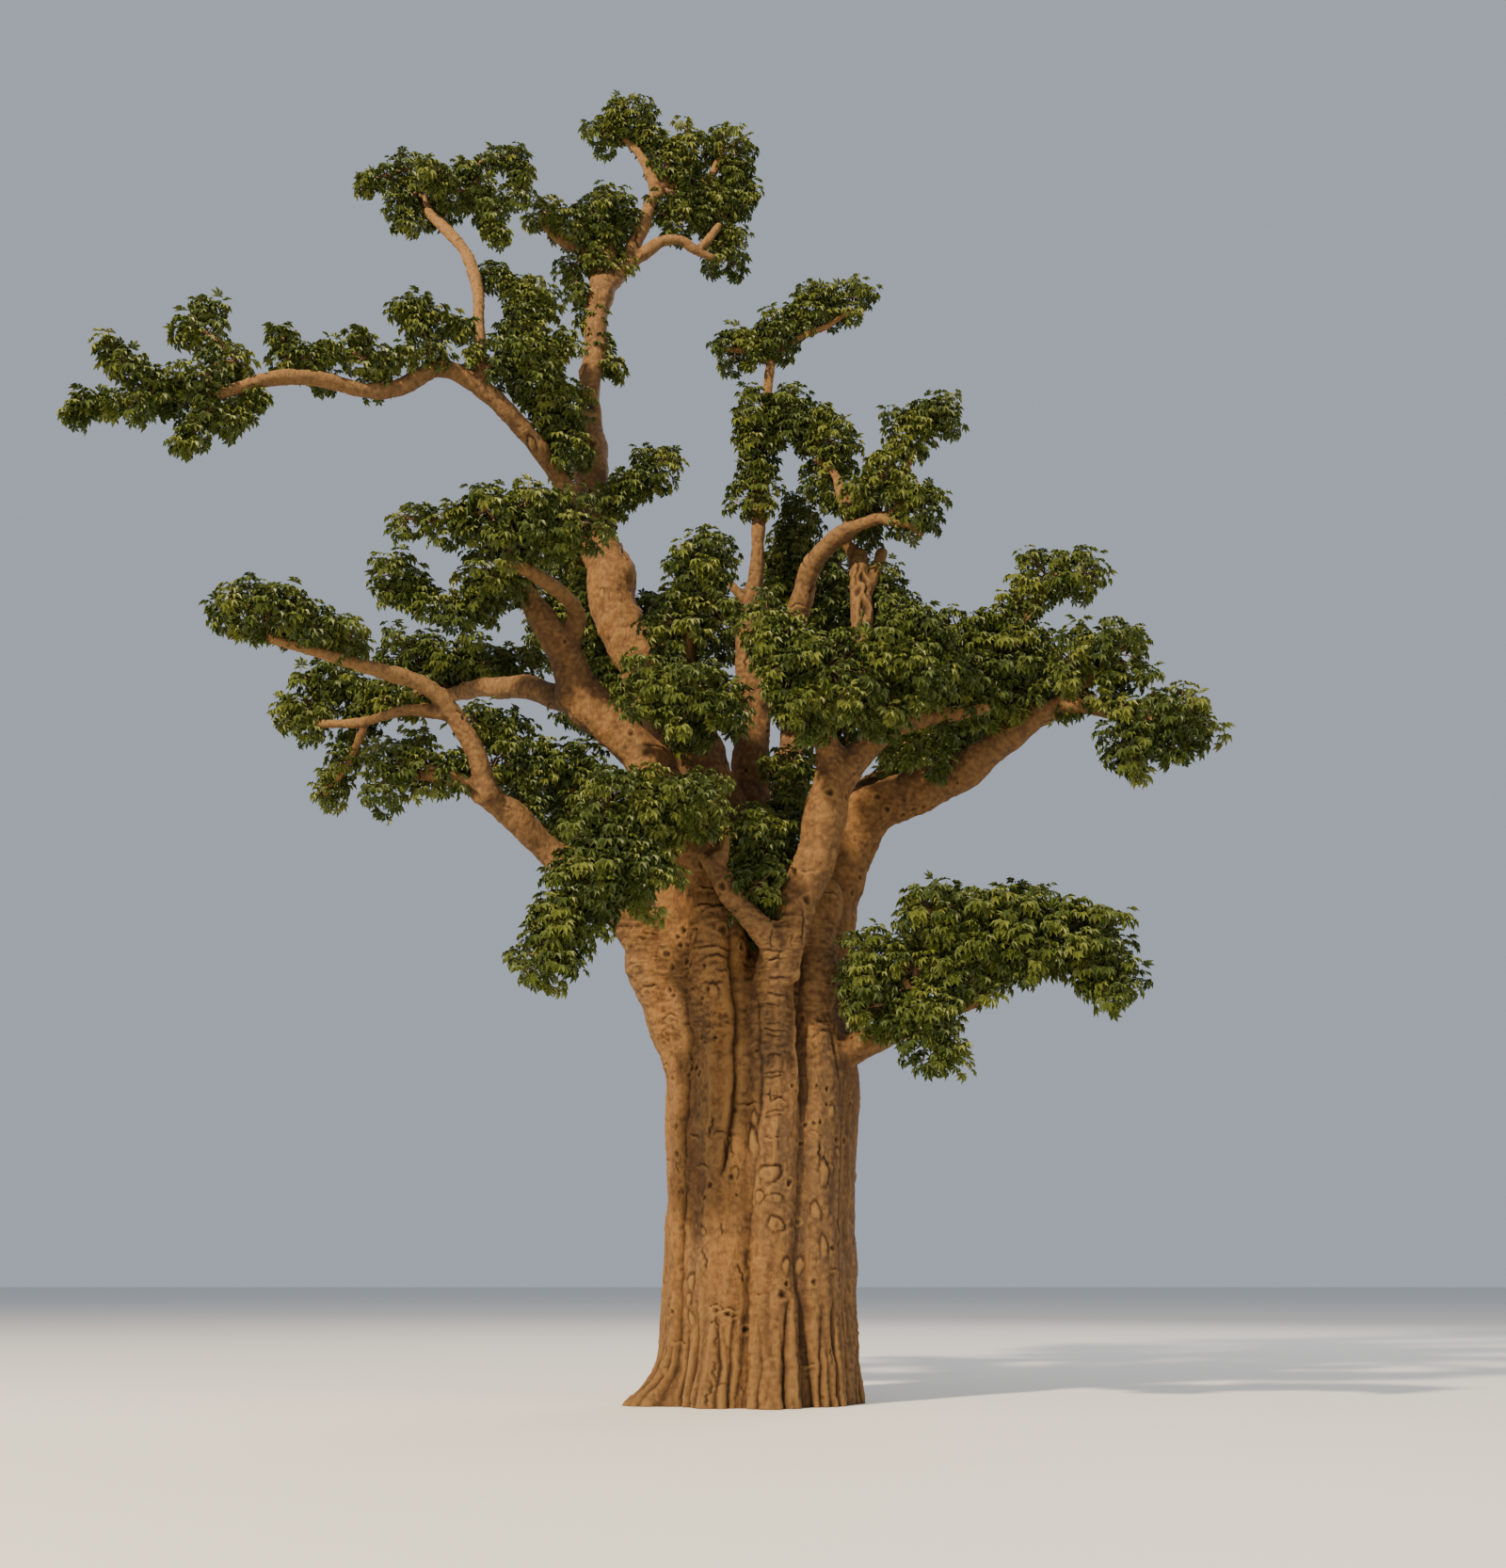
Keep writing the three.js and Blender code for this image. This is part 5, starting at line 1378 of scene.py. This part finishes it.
def tufts_of(lump, dice):
    """Places and outward directions of the leaf tufts of one lump."""
    x, y, z, radius = lump
    count = max(LEAST_TUFTS, int(TUFTS_PER_AREA * radius**2))
    k = np.arange(count)
    rise = 1 - (2 * k + 1) / count
    flat = np.sqrt(1 - rise**2)
    angle = dice.uniform(0, 2 * math.pi) + k * GOLDEN_ANGLE
    out = np.stack([flat * np.cos(angle), flat * np.sin(angle), rise], -1)
    out = unit(out + dice.normal(0, TUFT_SPREAD, out.shape))
    inner, outer = TUFT_DEPTH
    share = inner + (outer - inner) * dice.uniform(0, 1, count) ** TUFT_CROWDING
    height, rate, seed = MASS_BUMPS
    share = share * (1 + height * noise(out * rate + (x, y, z), seed))
    places = np.array((x, y, z)) + out * (radius * share)[:, None]
    places[:, 1] = np.maximum(places[:, 1], FRONT_REACH)
    return places, out


def tuft_rays(axis, dice):
    """The directions of a tuft's stalks, fanned out round its axis (tufts, leaves, 3)."""
    count = len(axis)
    side = unit(np.cross(axis, axis_beside(axis)))
    across = np.cross(axis, side)
    k = np.arange(LEAVES_PER_TUFT)
    inner, span = TUFT_FAN
    polar = np.radians(inner + span * np.sqrt((k + 0.5) / LEAVES_PER_TUFT))[None, :]
    polar = polar + dice.normal(0, POLAR_SPREAD, (count, LEAVES_PER_TUFT))
    turn = k * GOLDEN_ANGLE + dice.uniform(0, 2 * math.pi, (count, 1))
    turn = turn + dice.normal(0, TURN_SPREAD, (count, LEAVES_PER_TUFT))
    spoke = np.cos(turn)[..., None] * side[:, None] + np.sin(turn)[..., None] * across[:, None]
    return np.cos(polar)[..., None] * axis[:, None] + np.sin(polar)[..., None] * spoke


def leaf_mesh_parts(places, outward, dice):
    """Leaves of every tuft: corners and triangles, in the order of the tufts."""
    axis = unit(outward + (0, 0, TUFT_LIFT))
    ray = tuft_rays(axis, dice)
    stalk = dice.uniform(*PETIOLE, (*ray.shape[:2], 1))
    base = np.repeat(places[:, None], LEAVES_PER_TUFT, axis=1)
    heart = base + ray * stalk - (0, 0, PETIOLE_SAG) * stalk
    forward = unit(ray - (0, 0, DROOP) + dice.normal(0, LEAF_SPREAD, ray.shape))
    to_axis, upwards, to_ray = LEAF_FACING
    above = unit(axis[:, None] * to_axis + (0, 0, upwards) + ray * to_ray)
    normal = unit(above - np.sum(above * forward, -1, keepdims=True) * forward)
    wing = np.cross(forward, normal)
    size = dice.uniform(*LEAFLET_LENGTH, (*ray.shape[:2], 1))
    corners = [base + wing * PETIOLE_HALF, base - wing * PETIOLE_HALF, heart]
    faces = [(0, 1, 2)]
    for degrees, scale in LEAFLETS:
        angle = math.radians(degrees)
        ahead = math.cos(angle) * forward + math.sin(angle) * wing
        aside = -math.sin(angle) * forward + math.cos(angle) * wing
        length = size * scale
        middle = heart + ahead * length * LEAFLET_MIDDLE + normal * length * LEAFLET_RISE
        left = len(corners)
        corners.append(middle + aside * length * LEAFLET_WIDTH / 2)
        corners.append(heart + ahead * length - normal * length * LEAFLET_FALL)
        corners.append(middle - aside * length * LEAFLET_WIDTH / 2)
        faces += [(2, left + 1, left), (2, left + 2, left + 1)]
    corners = np.stack(corners, axis=2)
    offsets = np.arange(len(places) * LEAVES_PER_TUFT)[:, None, None] * corners.shape[2]
    return corners.reshape(-1, 3), (np.array(faces)[None] + offsets).reshape(-1, 3)


def region_of(x, y, z):
    """The part of the crown that a mass belongs to, by the place of its first lump."""
    if y > CROWN_BACK:
        return "back_left" if x < BACK_SPLIT else "back_right"
    if z > CROWN_TOP:
        return "high_left" if x < TOP_SPLIT else "top"
    if x < LEFT_EDGE:
        return "left"
    return "middle" if x < RIGHT_EDGE else "right"


def twig_lines(links, dice):
    """The lines of a mass's twigs (twigs, rings, 3), each a little bowed and uneven."""
    starts = np.array([start for start, _ in links])
    ends = np.array([end for _, end in links])
    lines = bowed(starts, ends, dice.uniform(*TWIG_BOW, len(links)), TWIG_RINGS)
    lines[:, 1:-1] += dice.normal(0, TWIG_JITTER, lines[:, 1:-1].shape)
    return lines


def twig_tubes(lines):
    """Tubes along a mass's twigs, the first of them the thicker stem."""
    girths = np.linspace(*TWIG_GIRTH, TWIG_RINGS) * np.ones((len(lines), 1))
    girths[0] = np.linspace(*STEM_GIRTH, TWIG_RINGS)
    return sweep(lines, girths, TWIG_SIDES)


def stalk_tubes(places, lines, dice):
    """A thin stalk to each tuft from the nearest ring of a twig."""
    spots = lines.reshape(-1, 3)
    gaps = np.linalg.norm(places[:, None] - spots[None], axis=2)
    nearest = spots[np.argmin(gaps, axis=1)]
    stalks = bowed(nearest, places, dice.uniform(*STALK_BOW, len(places)), STALK_RINGS)
    girths = np.linspace(*STALK_GIRTH, STALK_RINGS) * np.ones((len(places), 1))
    return sweep(stalks, girths, STALK_SIDES)


def mass_parts(root, lumps, dice):
    """One mass: its twigs, its leaves and the green of each tuft."""
    links = links_of(root, lumps)
    lines = twig_lines(links, dice)
    places, outward = zip(*(tufts_of(lump, dice) for lump in filled(links, lumps)))
    places, outward = np.concatenate(places), np.concatenate(outward)
    twigs = [twig_tubes(lines), stalk_tubes(places, lines, dice)]
    leaves = leaf_mesh_parts(places, outward, dice)
    return twigs, leaves, dice.choice(len(LEAF_GREENS), len(places), p=LEAF_SHARES)


def foliage_pieces(twig_material, leaf_materials):
    """Twigs and leaves of all masses, joined by region."""
    roots = []
    groups = {}
    for index, (name, (limb, *lumps)) in enumerate(MASSES.items()):
        roots.append(nearest_on_limb(limb, np.array(lumps[0][:3]), roots))
        dice = np.random.default_rng(index + MASS_SEED)
        twigs, leaves, tints = mass_parts(roots[-1], lumps, dice)
        group = groups.setdefault(region_of(*lumps[0][:3]),
                                  {"twigs": [], "leaves": [], "tints": [], "nodes": []})
        group["twigs"] += twigs
        group["leaves"].append(leaves)
        group["tints"].append(tints)
        group["nodes"].append(f"foliage_{name}")
    for region, group in groups.items():
        twigs = object_of(f"twigs_{region}", mesh_of("twigs", *joined(group["twigs"])))
        twigs.data.materials.append(twig_material)
        leaves = object_of(f"leaves_{region}", mesh_of("leaves", *joined(group["leaves"])))
        for material in leaf_materials:
            leaves.data.materials.append(material)
        tints = np.concatenate(group["tints"])
        each = len(leaves.data.polygons) // len(tints)
        leaves.data.polygons.foreach_set("material_index", np.repeat(tints, each).astype(np.int32))
        leaves.data.polygons.foreach_set("use_smooth", np.zeros(each * len(tints), bool))
        for piece, slot in ((twigs, "bark"), (leaves, "foliage")):
            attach(piece, "root")
            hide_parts(*group["nodes"])


class Nodes:
    """A short way to make and join the nodes of a material."""

    def __init__(self, name):
        self.material = bpy.data.materials.new(name)
        self.material.use_nodes = True
        self.tree = self.material.node_tree
        self.shader = self.tree.nodes["Principled BSDF"]

    def give(self, socket, value):
        """Set a socket, or join it to the socket that the value comes from."""
        if isinstance(value, bpy.types.NodeSocket):
            self.tree.links.new(value, socket)
        else:
            socket.default_value = value

    def add(self, kind, **values):
        """A node of a kind, with its sockets set or joined by name."""
        node = self.tree.nodes.new(kind)
        for name, value in values.items():
            self.give(node.inputs[name.replace("_", " ")], value)
        return node

    def shade(self, **values):
        """Set or join the sockets of the material's shader by name."""
        for name, value in values.items():
            self.give(self.shader.inputs[name.replace("_", " ")], value)

    def mix(self, share, first, second):
        """Two colours mixed by a share."""
        node = self.tree.nodes.new("ShaderNodeMix")
        node.data_type = "RGBA"
        for index, value in ((0, share), (6, first), (7, second)):
            self.give(node.inputs[index], value)
        return node.outputs[2]

    def ramp(self, value, *stops):
        """Shares from 0 to 1 by two stops of place and value."""
        node = self.tree.nodes.new("ShaderNodeValToRGB")
        self.tree.links.new(value, node.inputs["Fac"])
        for stop, (place, shade) in zip(node.color_ramp.elements, stops):
            stop.position = place
            stop.color = (shade, shade, shade, 1)
        return node.outputs["Color"]

    def noise(self, vector, scale, detail, rough=0.55):
        """A noise pattern's value."""
        node = self.add("ShaderNodeTexNoise", Vector=vector, Scale=scale, Detail=detail,
                        Roughness=rough)
        return node.outputs["Fac"]

    def place(self):
        """The place on the piece."""
        return self.add("ShaderNodeTexCoord").outputs["Object"]

    def attribute(self, name):
        """The number that the mesh keeps under a name."""
        node = self.tree.nodes.new("ShaderNodeAttribute")
        node.attribute_name = name
        return node.outputs["Fac"]

    def bump(self, **values):
        """A bump's normal."""
        return self.add("ShaderNodeBump", **values).outputs["Normal"]


def bark_material():
    """Folded bark: ochre with grey patches, streaks, mottling and specks, greyer thin wood and
    paler scars; painted shade in hollows, folds and marks, at the foot and high up; painted
    highlights on crests, lips and rolls.
    """
    n = Nodes("bark")
    place = n.place()
    tall = n.add("ShaderNodeMapping", Vector=place, Scale=BARK_DRAWN_OUT).outputs["Vector"]
    colour = OCHRE
    for drawn_out, scale, detail, rough, *stops, tint in BARK_LAYERS:
        pattern = n.noise(tall if drawn_out else place, scale, detail, rough)
        colour = n.mix(n.ramp(pattern, *stops), colour, tint)
    cells = n.add("ShaderNodeTexVoronoi", Vector=place, Scale=SPECK_SCALE)
    colour = n.mix(n.ramp(cells.outputs["Distance"], *SPECK_STOPS), colour, SPECK_COLOUR)
    height = n.add("ShaderNodeSeparateXYZ", Vector=tall).outputs["Z"]
    # Painted shade towards the foot of the trunk, strongest at the ground
    colour = n.mix(n.ramp(height, *FOOT_PAINTED_SHADE_STOPS), colour, FOOT_PAINTED_SHADE_COLOUR)
    # Greyer brown of thin young wood, its own colour, and of wood high up, painted shade of the
    # crown
    colour = n.mix(n.ramp(n.attribute("young"), *YOUNG_WOOD_AND_SHADE_STOPS), colour, YOUNG_WOOD_AND_SHADE_COLOUR)
    # Paleness laid over the colour: painted highlight on crests, lips and rolls, and the lighter
    # tone of scars
    colour = n.mix(n.attribute("pale"), colour, PALE_SCAR_AND_HIGHLIGHT_COLOUR)
    # Painted shade laid over the colour in folds, hollows, pits and grooves
    colour = n.mix(n.attribute("painted_shade"), colour, PAINTED_SHADE_COLOUR)
    streaks = n.bump(Height=n.noise(tall, scale=15, detail=10, rough=0.66), Strength=0.9,
                     Distance=0.09)
    grain = n.bump(Height=n.noise(place, scale=34, detail=10, rough=0.7), Strength=0.8,
                   Distance=0.04, Normal=streaks)
    rough = n.ramp(n.noise(place, scale=9, detail=6), (0.2, 0.62), (0.8, 0.88))
    n.shade(Base_Color=colour, Roughness=rough, Normal=grain, Specular_IOR_Level=0.25)
    return n.material


def twig_material():
    """Reddish-brown bark of young twigs."""
    n = Nodes("twig_bark")
    place = n.place()
    colour = n.mix(n.noise(place, scale=14, detail=5), *TWIG_COLOURS)
    grain = n.bump(Height=n.noise(place, scale=80, detail=4), Strength=0.3, Distance=0.004)
    n.shade(Base_Color=colour, Roughness=0.75, Normal=grain)
    return n.material


def leaf_material(name, colour):
    """A leaf's plain green, with a soft gloss that varies and fine veins as bump."""
    n = Nodes(name)
    place = n.place()
    rough = n.ramp(n.noise(place, scale=5, detail=4), (0.2, 0.38), (0.8, 0.62))
    veins = n.bump(Height=n.noise(place, scale=70, detail=3), Strength=0.25, Distance=0.004)
    n.shade(Base_Color=(*colour, 1), Roughness=rough, Normal=veins, Specular_IOR_Level=0.4)
    return n.material


def make_camera():
    """The camera at the photograph's place."""
    data = bpy.data.cameras.new("camera")
    data.sensor_width = SENSOR
    data.lens = LENS
    data.clip_end = FAR_CLIP
    camera = bpy.data.objects.new("camera", data)
    camera.location = EYE
    camera.rotation_euler = (math.pi / 2 + TILT_UP, 0, 0)
    bpy.context.scene.collection.objects.link(camera)
    bpy.context.scene.camera = camera


def add_light(name, place, aim, size, power, colour):
    """A large soft area light that looks at a point."""
    data = bpy.data.lights.new(name, "AREA")
    data.shape = "DISK"
    data.size = size
    data.energy = power
    data.color = colour
    lamp = bpy.data.objects.new(name, data)
    lamp.location = place
    away = np.array(place, float) - np.array(aim, float)
    flat = math.hypot(away[0], away[1])
    lamp.rotation_euler = (math.atan2(flat, away[2]), 0, math.atan2(away[1], away[0]) + math.pi / 2)
    bpy.context.scene.collection.objects.link(lamp)


def make_studio():
    """A plain pale floor and sky, a warm key at the left front, a fill and a light from behind."""
    corners = [(x * FLOOR_HALF, y * FLOOR_HALF, -FLOOR_DROP)
               for x, y in ((-1, -1), (1, -1), (1, 1), (-1, 1))]
    floor = object_of("floor", mesh_of("floor", corners, np.array([(0, 1, 2), (0, 2, 3)])))
    n = Nodes("floor")
    n.shade(Base_Color=FLOOR_COLOUR, Roughness=FLOOR_ROUGHNESS)
    floor.data.materials.append(n.material)
    for light in LIGHTS:
        add_light(*light)
    world = bpy.data.worlds.new("world")
    world.use_nodes = True
    sky = world.node_tree.nodes["Background"]
    sky.inputs["Color"].default_value = SKY_COLOUR
    sky.inputs["Strength"].default_value = SKY_STRENGTH
    bpy.context.scene.world = world


make_camera()
make_studio()
bark_pieces(bark_material())
foliage_pieces(twig_material(),
               [leaf_material(name, green) for name, green in LEAF_GREENS.items()])
